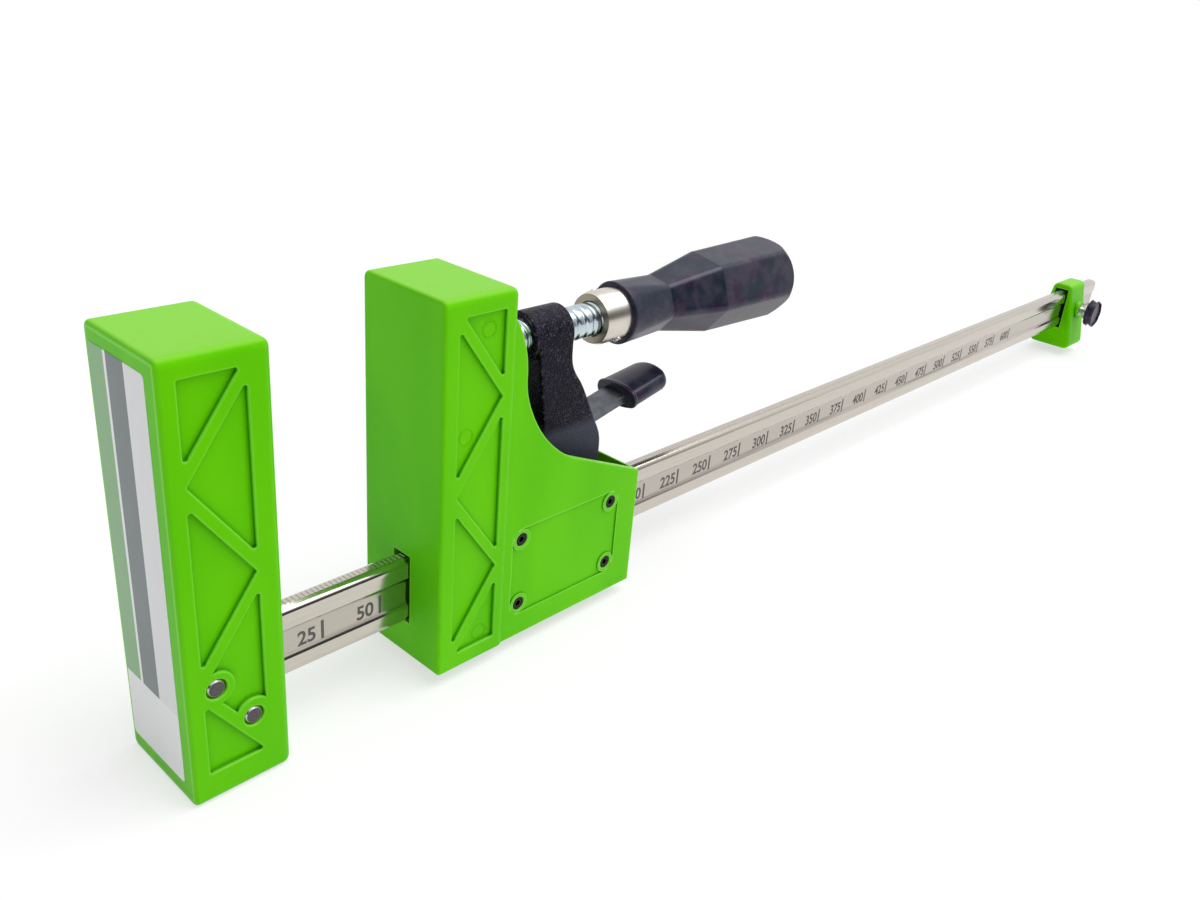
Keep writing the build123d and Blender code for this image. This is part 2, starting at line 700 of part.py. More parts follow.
# Sliding arm, a casting with a nut boss on top and a slot for the rail below
throat_points = [(x, foot + height) for x, height in arm_throat]
with BuildPart() as slider_arm:
    with BuildSketch(Plane.XZ.offset(-arm_half)) as arm_side:
        with BuildLine():
            Polyline(
                (boss_front + arm_neck_inset, spindle_axis),
                (boss_front + arm_neck_inset, throat_points[0][1]),
                (arm_waist, foot + arm_waist_height),
                (arm_front, foot + arm_flare_height),
                (arm_front, foot + arm_bottom_height),
                (arm_heel, foot + arm_bottom_height),
                (arm_heel, foot + arm_heel_height),
                (arm_back, foot + arm_heel_height),
                throat_points[-1],
            )
            Spline(throat_points[::-1], tangents=((0, 1), (0, 1)))
            Polyline(
                throat_points[0],
                (throat_points[0][0], spindle_axis),
                (boss_front + arm_neck_inset, spindle_axis),
            )
        make_face()
    extrude(amount=arm_width)
    side_loops = [
        e
        for f in slider_arm.faces().filter_by(Axis.Y)
        for e in f.edges()
        if e.center().Z < spindle_axis - arm_edge_radius
    ]
    fillet(side_loops, radius=arm_edge_radius)
    add(arm_boss.part)
    with BuildSketch(Plane.YZ.offset(arm_front)):
        with Locations((0, rail_bottom - arm_rail_below)):
            Rectangle(
                rail_thickness + 2 * arm_rail_side,
                rail_height + arm_rail_below + arm_rail_above,
                align=(Align.CENTER, Align.MIN),
            )
    extrude(amount=arm_back - arm_front, mode=Mode.SUBTRACT)
    with BuildSketch(Plane.XZ.offset(-strap_width / 2 - trigger_slot_clearance)):
        with BuildLine():
            Polyline(
                (trigger_pivot - slot_front, rail_top),
                (trigger_pivot - slot_front, foot + trigger_pivot_height),
                (trigger_pivot - slot_front + slot_lean, foot + strap_knee_height),
                (slot_roof, foot + slot_roof_height),
                (arm_back + arm_edge_radius, foot + slot_roof_height),
                (arm_back + arm_edge_radius, rail_top),
                close=True,
            )
        make_face()
    extrude(amount=strap_width + 2 * trigger_slot_clearance, mode=Mode.SUBTRACT)
    with BuildSketch(Plane.YZ.offset(boss_front)):
        with Locations((0, spindle_axis)):
            Circle(spindle_radius + spindle_bore_clearance)
    extrude(amount=boss_length, mode=Mode.SUBTRACT)
    with BuildSketch(Plane.XZ):
        with Locations((trigger_pivot, foot + trigger_pivot_height)):
            Circle(trigger_pin_radius)
    extrude(amount=arm_width, both=True, mode=Mode.SUBTRACT)
slider_arm.part.label = "slider_arm"
export_step(slider_arm.part, "parts/slider_arm.step")

# Pin that the trigger swings on
with BuildPart() as trigger_pin:
    with BuildSketch(Plane.XZ.offset(arm_half)):
        with Locations((trigger_pivot, foot + trigger_pivot_height)):
            Circle(trigger_pin_radius)
    extrude(amount=-arm_width)
    chamfer(trigger_pin.edges().filter_by(GeomType.CIRCLE), length=trigger_pin_edge)
trigger_pin.part.label = "trigger_pin"
export_step(trigger_pin.part, "parts/trigger_pin.step")

# Trigger lever, a bent strap with an eye at the pin and a toe that bites the rail
strap_points = [
    (trigger_pivot, foot + trigger_pivot_height),
    (strap_knee, foot + strap_knee_height),
    (strap_rise, foot + strap_rise_height),
    (strap_level, foot + strap_level_height),
    (strap_tip, foot + strap_tip_height),
]
with BuildPart() as trigger_lever:
    with BuildSketch(Plane.XZ.offset(-strap_width / 2)):
        with BuildLine() as strap_line:
            FilletPolyline(strap_points, radius=strap_bend_radius)
        trace(strap_line.line, line_width=strap_thickness)
        with Locations(strap_points[0]):
            Circle(trigger_eye_radius)
        with BuildLine():
            Polyline(
                strap_points[0],
                (trigger_pivot - toe_back, rail_top + toe_clearance),
                (trigger_pivot + toe_reach, rail_top + toe_clearance),
                (trigger_pivot + trigger_eye_radius, foot + trigger_pivot_height),
                close=True,
            )
        make_face()
    extrude(amount=strap_width)
    with BuildSketch(Plane.XZ):
        with Locations(strap_points[0]):
            Circle(trigger_pin_radius + trigger_pin_clearance)
    extrude(amount=strap_width, both=True, mode=Mode.SUBTRACT)
trigger_lever.part.label = "trigger_lever"
export_step(trigger_lever.part, "parts/trigger_lever.step")

# Moulded finger pad pushed over the strap's end, oval in section and tapered in plan
strap_slope = atan2(strap_tip_height - strap_level_height, strap_tip - strap_level)
strap_way = (cos(strap_slope), 0, sin(strap_slope))
strap_up = (-sin(strap_slope), 0, cos(strap_slope))
cap_rise = (cap_front - strap_level) * sin(strap_slope) / cos(strap_slope)
cap_origin = (cap_front, 0, foot + strap_level_height + cap_rise)
with BuildPart() as trigger_cap:
    with BuildSketch(Plane(origin=cap_origin, x_dir=(0, 1, 0), z_dir=strap_way)):
        with BuildLine():
            Line((cap_front_half, -cap_side_half), (cap_front_half, cap_side_half))
            ThreePointArc(
                (cap_front_half, cap_side_half), (0, cap_crown), (-cap_front_half, cap_side_half)
            )
            Line((-cap_front_half, cap_side_half), (-cap_front_half, -cap_side_half))
            ThreePointArc(
                (-cap_front_half, -cap_side_half), (0, -cap_crown), (cap_front_half, -cap_side_half)
            )
        make_face()
    extrude(amount=cap_length)
    with BuildSketch(Plane(origin=cap_origin, x_dir=strap_way, z_dir=strap_up)) as cap_plan:
        with BuildLine():
            Polyline(
                (0, -cap_front_half),
                (cap_length, -cap_rear_half),
                (cap_length, cap_rear_half),
                (0, cap_front_half),
                close=True,
            )
        make_face()
        fillet(cap_plan.vertices().group_by(Axis.X)[-1], radius=cap_plan_radius)
    extrude(amount=cap_crown, both=True, mode=Mode.INTERSECT)
    front_loop = trigger_cap.faces().sort_by(Axis.X)[0].edges()
    fillet([e for e in trigger_cap.edges() if e not in front_loop], radius=cap_edge_radius)
    fillet(trigger_cap.faces().sort_by(Axis.X)[0].edges(), radius=cap_crisp_radius)
    with BuildSketch(Plane.XZ.offset(-strap_width / 2)):
        with BuildLine() as cap_strap_line:
            FilletPolyline(strap_points, radius=strap_bend_radius)
        trace(cap_strap_line.line, line_width=strap_thickness)
    extrude(amount=strap_width, mode=Mode.SUBTRACT)
trigger_cap.part.label = "trigger_cap"
export_step(trigger_cap.part, "parts/trigger_cap.step")

# Leaf spring that keeps the toe on the rail
wall_foot = (trigger_pivot - slot_front + slot_lean, foot + strap_knee_height)
wall_head = (slot_roof, foot + slot_roof_height)
wall_length = hypot(wall_head[0] - wall_foot[0], wall_head[1] - wall_foot[1])
wall_way = ((wall_head[0] - wall_foot[0]) / wall_length, (wall_head[1] - wall_foot[1]) / wall_length)
leaf_seat = [
    (
        wall_foot[0] + along * wall_way[0] + leaf_thickness / 2 * wall_way[1],
        wall_foot[1] + along * wall_way[1] - leaf_thickness / 2 * wall_way[0],
    )
    for along in (leaf_seat_end, leaf_seat_start)
]
with BuildPart() as trigger_spring:
    with BuildSketch(Plane.XZ.offset(-leaf_width / 2)):
        with BuildLine() as leaf_line:
            FilletPolyline(
                leaf_seat[0],
                leaf_seat[1],
                (strap_knee - leaf_tip_back, foot + strap_knee_height - leaf_tip_drop),
                radius=leaf_bend_radius,
            )
        trace(leaf_line.line, line_width=leaf_thickness)
    extrude(amount=leaf_width)
trigger_spring.part.label = "trigger_spring"
export_step(trigger_spring.part, "parts/trigger_spring.step")

# Spindle with a swivel head, a thin neck and a long shank
with BuildPart() as spindle:
    with BuildSketch(Plane.YZ.offset(spindle_head_front)):
        with Locations((0, spindle_axis)):
            Circle(spindle_radius)
    extrude(amount=spindle_head_length)
    chamfer(spindle.faces().sort_by(Axis.X)[0].edges(), length=spindle_head_chamfer)
    with BuildSketch(Plane.YZ.offset(spindle_head_back)):
        with Locations((0, spindle_axis)):
            Circle(spindle_neck_radius)
    extrude(amount=spindle_neck_length)
    with BuildSketch(Plane.YZ.offset(spindle_head_back + spindle_neck_length)):
        with Locations((0, spindle_axis)):
            Circle(spindle_radius)
    extrude(amount=spindle_end - spindle_head_back - spindle_neck_length)
    chamfer(spindle.faces().sort_by(Axis.X)[-1].edges(), length=spindle_head_chamfer)
    cross_way = (0, cos(radians(cross_pin_turn)), sin(radians(cross_pin_turn)))
    cross_plane = Plane(origin=(ferrule_front + cross_pin_place, 0, spindle_axis), z_dir=cross_way)
    with BuildSketch(cross_plane):
        Circle(cross_pin_radius)
    extrude(amount=spindle_radius + 1, both=True, mode=Mode.SUBTRACT)
spindle.part.label = "spindle"
export_step(spindle.part, "parts/spindle.step")

# Ferrule between spindle and handle
with BuildPart() as ferrule:
    with BuildSketch(Plane.YZ.offset(ferrule_front)):
        with Locations((0, spindle_axis)):
            Circle(ferrule_radius)
    extrude(amount=ferrule_length)
    ferrule_face = ferrule.faces().sort_by(Axis.X)[0]
    chamfer(ferrule_face.edges(), length=ferrule_edge, length2=ferrule_edge_run, reference=ferrule_face)
    with BuildSketch(Plane.YZ.offset(ferrule_front)):
        with Locations((0, spindle_axis)):
            Circle(spindle_radius)
    extrude(amount=ferrule_length, mode=Mode.SUBTRACT)
    with BuildSketch(Plane.YZ.offset(ferrule_front)):
        with Locations((0, spindle_axis)):
            Circle(ferrule_mouth_radius)
    extrude(amount=ferrule_mouth_depth, mode=Mode.SUBTRACT)
    with BuildSketch(cross_plane):
        Circle(cross_pin_radius)
    extrude(amount=ferrule_radius + cross_pin_proud, both=True, mode=Mode.SUBTRACT)
ferrule.part.label = "ferrule"
export_step(ferrule.part, "parts/ferrule.step")

# Cross pin through ferrule and spindle
with BuildPart() as ferrule_pin:
    with BuildSketch(cross_plane):
        Circle(cross_pin_radius)
    extrude(amount=ferrule_radius + cross_pin_proud, both=True)
    fillet(ferrule_pin.edges().filter_by(GeomType.CIRCLE), radius=cross_pin_edge)
ferrule_pin.part.label = "ferrule_pin"
export_step(ferrule_pin.part, "parts/ferrule_pin.step")

# Handle, a waisted hexagonal grip with rounded facets and a domed end
handle_rings = (
    (handle_front, handle_front_radius, handle_front_corner),
    (handle_neck_end, handle_neck_radius, handle_corner_radius),
    (handle_swell_start, handle_swell_radius, handle_corner_radius),
    (handle_crown, handle_crown_radius, handle_corner_radius),
    (handle_end, handle_crown_radius, handle_corner_radius),
)
with BuildPart() as handle:
    for place, corner, rounding in handle_rings:
        with BuildSketch(Plane.YZ.offset(place)) as facet_ring:
            with Locations((0, spindle_axis)):
                RegularPolygon(corner, handle_facets, rotation=handle_facet_turn)
            fillet(facet_ring.vertices(), radius=rounding)
    loft(ruled=True)
    with BuildSketch(Plane.XZ):
        with BuildLine():
            dome = Spline(
                (handle_dome_start, spindle_axis + handle_crown_radius + handle_dome_margin),
                (handle_dome_middle, spindle_axis + handle_dome_shoulder),
                (handle_end, spindle_axis),
                tangents=((1, 0), (0, -1)),
            )
            Polyline(
                dome @ 1,
                (handle_front, spindle_axis),
                (handle_front, spindle_axis + handle_crown_radius + handle_dome_margin),
                dome @ 0,
            )
        make_face()
    revolve(axis=Axis((0, 0, spindle_axis), (1, 0, 0)), revolution_arc=360, mode=Mode.INTERSECT)
    fillet(handle.faces().sort_by(Axis.X)[0].edges(), radius=handle_lip)
    with BuildSketch(Plane.YZ.offset(handle_front)):
        with Locations((0, spindle_axis)):
            Circle(ferrule_radius + handle_socket_clearance)
    extrude(amount=ferrule_front + ferrule_length - handle_front, mode=Mode.SUBTRACT)
    with BuildSketch(Plane.YZ.offset(handle_front)):
        with Locations((0, spindle_axis)):
            Circle(spindle_radius)
    extrude(amount=spindle_end - handle_front, mode=Mode.SUBTRACT)
handle.part.label = "handle"
export_step(handle.part, "parts/handle.step")

# End stop, a moulded block that straddles the rail's tail
thumb_x = stop_front + thumb_place
thumb_axis = groove_middle
insert_face = stop_boss_face
pad_pocket = rail_half + stop_slot_side + thumb_travel
with BuildPart() as end_stop:
    with BuildSketch(Plane.YZ.offset(stop_front)) as stop_section:
        with BuildLine():
            Polyline(
                (-stop_foot_half, foot + stop_foot_height),
                (stop_foot_half, foot + stop_foot_height),
                (stop_shoulder_half, foot + stop_shoulder_height),
                (stop_shoulder_half, foot + stop_top_height),
                (-stop_shoulder_half, foot + stop_top_height),
                (-stop_shoulder_half, foot + stop_shoulder_height),
                close=True,
            )
        make_face()
        fillet(stop_section.vertices().group_by(Axis.Y)[-1], radius=stop_top_radius)
        fillet(stop_section.vertices().group_by(Axis.Y)[0], radius=stop_foot_radius)
    extrude(amount=stop_length)
    fillet(end_stop.faces().sort_by(Axis.X)[0].edges(), radius=stop_edge_radius)
    fillet(end_stop.faces().sort_by(Axis.X)[-1].edges(), radius=stop_edge_radius)
    with BuildSketch(Plane.XZ.offset(stop_boss_face)):
        with Locations((thumb_x, thumb_axis)):
            Circle(stop_boss_radius)
    extrude(amount=pad_pocket - stop_boss_face)
    with BuildSketch(Plane.YZ.offset(stop_front)):
        with Locations((0, rail_bottom - stop_slot_below)):
            Rectangle(
                rail_thickness + 2 * stop_slot_side,
                rail_height + stop_slot_below + stop_slot_above,
                align=(Align.CENTER, Align.MIN),
            )
    extrude(amount=stop_length, mode=Mode.SUBTRACT)
    with BuildSketch(Plane.XZ.offset(pad_pocket)):
        with Locations((thumb_x, thumb_axis)):
            Circle(thumb_insert_radius)
    extrude(amount=insert_face - pad_pocket, mode=Mode.SUBTRACT)
    with BuildSketch(Plane.XZ.offset(rail_half)):
        with Locations((thumb_x, thumb_axis)):
            Circle(thumb_pad_radius + thumb_pad_side)
    extrude(amount=pad_pocket - rail_half, mode=Mode.SUBTRACT)
end_stop.part.label = "end_stop"
export_step(end_stop.part, "parts/end_stop.step")

# Threaded brass insert in the end stop
with BuildPart() as thumb_screw_insert:
    with BuildSketch(Plane.XZ.offset(pad_pocket)):
        with Locations((thumb_x, thumb_axis)):
            Circle(thumb_insert_radius)
            Circle(thumb_radius + thumb_bore_clearance, mode=Mode.SUBTRACT)
    extrude(amount=insert_face - pad_pocket)
thumb_screw_insert.part.label = "thumb_screw_insert"
export_step(thumb_screw_insert.part, "parts/thumb_screw_insert.step")

# Pressure pad between thumb screw and rail
pad_face = rail_half - rail_groove_depth + thumb_pad_clearance
with BuildPart() as thumb_screw_pad:
    with BuildSketch(Plane.XZ.offset(pad_face)):
        with Locations((thumb_x, thumb_axis)):
            Circle(thumb_pad_radius)
    extrude(amount=thumb_pad_thickness)
    chamfer(thumb_screw_pad.faces().sort_by(Axis.Y)[-1].edges(), length=thumb_pad_edge)
thumb_screw_pad.part.label = "thumb_screw_pad"
export_step(thumb_screw_pad.part, "parts/thumb_screw_pad.step")

# Thumb screw shaft
with BuildPart() as thumb_screw:
    with BuildSketch(Plane.XZ.offset(pad_face + thumb_pad_thickness + thumb_pad_clearance)):
        with Locations((thumb_x, thumb_axis)):
            Circle(thumb_radius)
    extrude(amount=thumb_shaft_end - pad_face - thumb_pad_thickness - thumb_pad_clearance)
    chamfer(thumb_screw.edges().filter_by(GeomType.CIRCLE), length=thumb_pad_edge)
thumb_screw.part.label = "thumb_screw"
export_step(thumb_screw.part, "parts/thumb_screw.step")

# Fluted knob on the thumb screw
with BuildPart() as thumb_knob:
    with BuildSketch(Plane.XZ.offset(knob_face)):
        with Locations((thumb_x, thumb_axis)):
            Circle(knob_radius)
            with PolarLocations(knob_radius, knob_flutes):
                Circle(knob_flute_radius, mode=Mode.SUBTRACT)
    extrude(amount=knob_thickness)
    fillet(thumb_knob.faces().sort_by(Axis.Y)[0].edges(), radius=knob_edge_radius)
    with BuildSketch(Plane.XZ.offset(knob_face - knob_hub_length)):
        with Locations((thumb_x, thumb_axis)):
            Circle(knob_hub_radius)
    extrude(amount=knob_hub_length)
    with BuildSketch(Plane.XZ.offset(knob_face - knob_hub_length)):
        with Locations((thumb_x, thumb_axis)):
            Circle(thumb_radius)
    extrude(amount=thumb_shaft_end - knob_face + knob_hub_length, mode=Mode.SUBTRACT)
thumb_knob.part.label = "thumb_knob"
export_step(thumb_knob.part, "parts/thumb_knob.step")
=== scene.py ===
import json
import math

import bmesh
import bpy
from mathutils import Matrix, Vector


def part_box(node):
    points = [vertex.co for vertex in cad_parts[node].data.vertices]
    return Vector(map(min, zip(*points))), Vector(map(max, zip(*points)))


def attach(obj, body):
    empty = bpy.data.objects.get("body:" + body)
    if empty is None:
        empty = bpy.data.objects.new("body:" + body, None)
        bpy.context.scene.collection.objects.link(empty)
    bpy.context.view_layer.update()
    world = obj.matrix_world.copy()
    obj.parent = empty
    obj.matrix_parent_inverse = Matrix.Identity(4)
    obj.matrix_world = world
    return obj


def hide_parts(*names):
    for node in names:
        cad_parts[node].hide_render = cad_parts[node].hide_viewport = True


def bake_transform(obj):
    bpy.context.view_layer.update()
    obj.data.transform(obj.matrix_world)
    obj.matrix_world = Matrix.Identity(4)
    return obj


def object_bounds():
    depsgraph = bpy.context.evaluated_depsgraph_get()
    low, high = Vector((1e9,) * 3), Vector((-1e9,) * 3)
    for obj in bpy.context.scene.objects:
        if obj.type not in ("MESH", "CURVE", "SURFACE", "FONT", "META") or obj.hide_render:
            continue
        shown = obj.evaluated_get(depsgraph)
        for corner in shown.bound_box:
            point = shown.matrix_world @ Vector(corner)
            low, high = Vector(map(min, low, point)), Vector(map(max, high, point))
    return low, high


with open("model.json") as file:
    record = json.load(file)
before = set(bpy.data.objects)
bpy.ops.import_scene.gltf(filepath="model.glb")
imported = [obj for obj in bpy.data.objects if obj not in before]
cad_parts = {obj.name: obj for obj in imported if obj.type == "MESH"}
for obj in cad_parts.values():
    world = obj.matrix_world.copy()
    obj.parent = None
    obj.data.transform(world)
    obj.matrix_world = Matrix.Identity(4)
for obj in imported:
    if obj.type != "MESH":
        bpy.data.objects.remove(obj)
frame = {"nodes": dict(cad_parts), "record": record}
cad_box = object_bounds()

bl_info = {
    "name": "Panel clamp finishes",
    "version": (1, 0, 0),
    "blender": (4, 5, 0),
    "location": "3D View > Sidebar > Clamp",
    "description": "Finishes, threads, printed scale, label and studio for a parallel-jaw panel clamp",
    "category": "Object",
}

MM = 0.001
FOOT = cad_box[0].z
WHITE = (1, 1, 1, 1)
SHARP = math.radians(30)
SENSOR = 36

# Points closer than this are one
MERGE = 0.001 * MM

# Sides of the ferrule and the thumb knob
ROUND_SIDES = 96

# Steps across the trigger cap and along the leaf spring's bend
CAP_STEPS = 24
LEAF_STEPS = 10

# Rays with which a finish finds edges and corners
NEAR_SAMPLES = 6

# Depth of the painted dark reflection on the ferrule's front end
FRONT_REFLECTION_DEPTH = 0.1 * MM

# Axes of the fixed jaw's two pins: place along the rail, height over the foot
JAW_PINS = ((-0.0251, 0.0432), (-0.013, 0.0266))

# The line over which the trigger's leaf spring bends with the lever, from its seat to its tip: place, height
LEAF_BEND = ((0.140945, 0.077763), (0.146055, 0.074804))

# Heights over the foot between which the arm's casting turns from smooth to rough
ROUGH_CASTING = (0.083, 0.088)

# Round marks of the mould's ejector pins on the moving jaw's sides: place along the rail, height, radius
EJECTOR_MARKS = ((0.0834, 0.1412, 0.0031), (0.0742, 0.1024, 0.003), (0.0838, 0.0160, 0.0033))


# Properties

def length(name, description, default):
    return bpy.props.FloatProperty(
        name=name, description=description, default=default, unit="LENGTH", precision=5
    )


def angle(name, description, default):
    return bpy.props.FloatProperty(name=name, description=description, default=default, subtype="ANGLE")


def amount(name, description, default):
    return bpy.props.FloatProperty(name=name, description=description, default=default)


def colour(name, description, default):
    return bpy.props.FloatVectorProperty(
        name=name, description=description, default=default, subtype="COLOR", size=3, min=0, max=1
    )


class ClampColours(bpy.types.PropertyGroup):
    """Base colours of the clamp's finishes, with the colours of the painted light and shade laid over them.
    """

    green: colour("Green", "Moulded covers of the jaws and the end stop", (0.128, 0.57, 0.0005))
    green_deep: colour("Deep green", "Darker streaks in the moulded covers", (0.1, 0.515, 0.0005))
    # Painted shade: the dark green laid on the walls deep in the covers' pockets
    green_hollow: colour("Hollow green", "Corners of the covers' pockets", (0.002, 0.22, 0.0005))
    # Painted light: a paler, yellower green laid on the faces that turn up towards the lamp
    green_faded: colour("Faded green", "Green plastic where it faces the light above", (0.215, 0.595, 0.04))
    # Painted highlight: the paler green laid along the covers' outer edges
    green_rim: colour("Rim green", "Paler edges of the moulded covers", (0.27, 0.76, 0.09))
    casting: colour("Casting", "Painted sliding arm", (0.0025, 0.0012, 0.005))
    # Paler grains: worn paint and painted glints on the raised grains, and paler spots low on the arm
    casting_grain: colour("Casting grain", "Worn grains of the painted sliding arm", (0.045, 0.047, 0.08))
    casting_smooth: colour("Smooth casting", "Rubbed paint low on the sliding arm", (0.05, 0.055, 0.075))
    # Painted glints in rare bright flecks, and nicks along the arm's edges that are partly wear and partly
    # painted highlight
    casting_fleck: colour("Casting fleck", "Bare flecks and nicks of the sliding arm", (0.3, 0.29, 0.33))
    rail: colour("Rail", "Nickel plate of the rail", (0.585, 0.54, 0.485))
    rail_streak: colour("Rail streaks", "Darker streaks of the rolled rail", (0.53, 0.49, 0.44))
    # Darker colour laid over the floors of the rail's grooves
    rail_groove: colour("Rail groove", "Duller plate in the rail's grooves", (0.42, 0.385, 0.34))
    # Painted reflection: dark streaks laid low in the rail's grooves in place of the dim things they mirror
    rail_stain: colour("Rail stain", "Dark streaks low in the rail's grooves", (0.13, 0.1, 0.09))
    steel: colour("Steel", "Pins, pad and retainer", (0.16, 0.15, 0.15))
    pin_edge: colour("Pin edge", "Bright chamfer round the pins' ends", (0.62, 0.58, 0.62))
    strap: colour("Strap steel", "Trigger lever", (0.16, 0.17, 0.19))
    spring: colour("Spring steel", "Leaf spring", (0.3, 0.3, 0.31))
    zinc: colour("Zinc", "Spindle and thumb screw", (0.62, 0.69, 0.74))
    zinc_shade: colour("Zinc shade", "Deeper bluish zinc in the thread", (0.42, 0.52, 0.58))
    nickel: colour("Nickel", "Ferrule and its cross pin", (0.68, 0.63, 0.57))
    # Painted reflection: dark olive laid on the ferrule's front end in place of the dark jaw and arm that it
    # mirrors
    nickel_face: colour("Nickel face", "Faced front end of the ferrule", (0.3, 0.27, 0.21))
    handle: colour("Black plastic", "Handle, trigger cap and knob", (0.021, 0.006, 0.028))
    handle_blue: colour("Bluish plastic", "Cooler clouds of the black plastic", (0.006, 0.0135, 0.026))
    handle_bloom: colour("Plastic bloom", "Paler bloom on the black plastic", (0.04, 0.036, 0.055))
    # Painted highlight: the paler colour laid along the edges between the black plastic's facets
    handle_rim: colour("Plastic rim", "Polished edges of the black plastic", (0.2, 0.18, 0.22))
    oxide: colour("Black oxide", "Small screws", (0.02, 0.018, 0.02))
    nylon: colour("Nylon", "Guide plates inside the moving jaw", (0.74, 0.73, 0.68))
    brass: colour("Brass", "Threaded insert of the end stop", (0.66, 0.47, 0.2))
    ink: colour("Ink", "Printed scale", (0.032, 0.029, 0.027))
    label: colour("Label", "Plain part of the label", (0.68, 0.69, 0.7))
    label_foot: colour("Label foot", "White foot of the label", (0.76, 0.77, 0.77))
    label_sage: colour("Label pale stripe", "Wide pale green stripe of the label", (0.17, 0.38, 0.15))
    label_slate: colour("Label dark stripe", "Dark grey stripe of the label", (0.115, 0.15, 0.15))


class ClampScale(bpy.types.PropertyGroup):
    """The scale printed in the rail's groove and the notches along its crown."""

    first: length("First mark", "Distance of the first mark from the fixed jaw", 0.025)
    step: length("Step", "Distance between marks", 0.025)
    marks: bpy.props.IntProperty(name="Marks", description="Number of marks", default=24, min=1)
    line_width: length("Line width", "Width of a mark's line", 0.0012)
    line_low: length("Line foot", "Height of a line's lower end over the foot", 0.0301)
    line_high: length("Line top", "Height of a line's upper end over the foot", 0.038)
    digit_low: length("Digit foot", "Height of the digits' lower edge over the foot", 0.031)
    digit_high: length("Digit top", "Height of the digits' upper edge over the foot", 0.037)
    digit_weight: amount("Digit weight", "How far the digits' strokes are thickened", 0.022)
    pair_width: length("Two digits", "Width of a number of two digits", 0.0076)
    pair_gap: length("Two digits' gap", "Gap between a number of two digits and its line", 0.0029)
    trio_width: length("Three digits", "Width of a number of three digits", 0.0112)
    trio_gap: length("Three digits' gap", "Gap between a number of three digits and its line", 0.0019)
    groove_depth: length("Groove depth", "Depth of the rail's groove that carries the print", 0.00075)
    ink_lift: length("Ink", "Thickness of the ink", 0.00003)
    notch_pitch: length("Notch pitch", "Distance between notches along the crown", 0.00195)
    notch_gap: length("Notch width", "Width of a notch at its floor", 0.00022)
    notch_depth: length("Notch depth", "Depth of a notch", 0.0001)
    notch_reach: length("Notch length", "Length of a notch across the crown", 0.0036)
    notch_slope: amount("Notch slope", "Share of a land's foot that its top keeps", 0.86)
    notch_start: length("First notch", "Distance of the first notch from the fixed jaw", 0.0012)


class ClampRail(bpy.types.PropertyGroup):
    """Section of the rail with its eased shoulders and grooves."""

    crown: length("Crown", "Fall from the rail's top flat to its shoulder", 0.001)
    crown_half: length("Crown flat", "Half width of the rail's top flat", 0.0017)
    crown_radius: length("Crown radius", "Radius along the rail's top flat", 0.0004)
    shoulder_radius: length("Shoulder radius", "Radius of the rail's shoulders", 0.0034)
    groove_middle: length("Groove middle", "Height of the groove's middle over the foot", 0.0346)
    groove_height: length("Groove height", "Height of the groove's floor", 0.0102)
    groove_bevel: length("Groove bevel", "Height of the groove's sloping edges", 0.0012)
    groove_radius: length("Groove radius", "Radius along the groove's floor", 0.0044)
    groove_lip: length("Groove lip", "Radius along the groove's outer edges", 0.0002)


class ClampCap(bpy.types.PropertyGroup):
    """The moulded cap on the trigger and the knob of the thumb screw."""

    front: length("Front", "Place of the cap's front", 0.1781)
    height: length("Height", "Height of the cap's front over the foot", 0.0872)
    lean: angle("Lean", "Slope of the cap", math.radians(9.62))
    reach: length("Length", "Length of the cap", 0.0251)
    front_half: length("Front half", "Half width of the cap's front", 0.0116)
    rear_half: length("Rear half", "Half width of the cap's rear", 0.0101)
    crown: length("Crown", "Half thickness along the cap's middle", 0.0057)
    side: length("Side", "Half thickness at the cap's sides", 0.0031)
    side_round: length("Side rounding", "How far the sides round off", 0.0024)
    plan_radius: length("Plan radius", "Radius of the cap's rear corners seen from above", 0.0048)
    end_radius: length("End radius", "Radius of the cap's rear edge seen from the side", 0.0022)
    lip: length("Lip", "Length of the raised lip at the cap's front", 0.0013)
    lip_rise: amount("Lip rise", "Share by which the cap is slimmer behind its lip", 0.035)
    lip_edge: amount("Lip edge", "Share of its size that the lip has at its very front", 0.97)
    end_thinning: amount("End thinning", "Share of its thickness that the cap loses at its rear", 0.55)
    knob_lobes: bpy.props.IntProperty(name="Lobes", description="Lobes round the knob", default=8, min=3)
    knob_flute: length("Flutes", "Depth of the knob's shallow flutes", 0.0005)
    knob_round: length("Knob rounding", "Radius of the knob's rims", 0.0011)
    hub_length: length("Hub length", "Length of the knob's hub", 0.0024)
    hub_radius: length("Hub radius", "Radius of the knob's hub", 0.0054)


class ClampThreads(bpy.types.PropertyGroup):
    """Threads of the spindle and the thumb screw."""

    spindle_pitch: length("Spindle pitch", "Pitch of the spindle's thread", 0.0045)
    spindle_depth: length("Spindle depth", "Depth of the spindle's thread", 0.001)
    spindle_start: length("Thread start", "Where the spindle's thread begins", 0.0971)
    head_end: length("Head end", "Where the spindle's head ends", 0.0928)
    head_edge: length("Head edge", "Chamfer of the spindle's head", 0.0015)
    neck_radius: length("Neck radius", "Radius of the spindle's neck", 0.005)
    ferrule_mouth_radius: length("Mouth radius", "Radius of the ferrule's mouth", 0.0074)
    ferrule_mouth_depth: length("Mouth depth", "Depth of the ferrule's mouth", 0.0025)
    ferrule_edge: length("Ferrule edge", "Fall of the ferrule's front chamfer", 0.0008)
    ferrule_edge_run: length("Ferrule edge run", "Length of the ferrule's front chamfer", 0.0024)
    thumb_pitch: length("Thumb screw pitch", "Pitch of the thumb screw's thread", 0.001)
    thumb_depth: length("Thumb screw depth", "Depth of the thumb screw's thread", 0.00055)


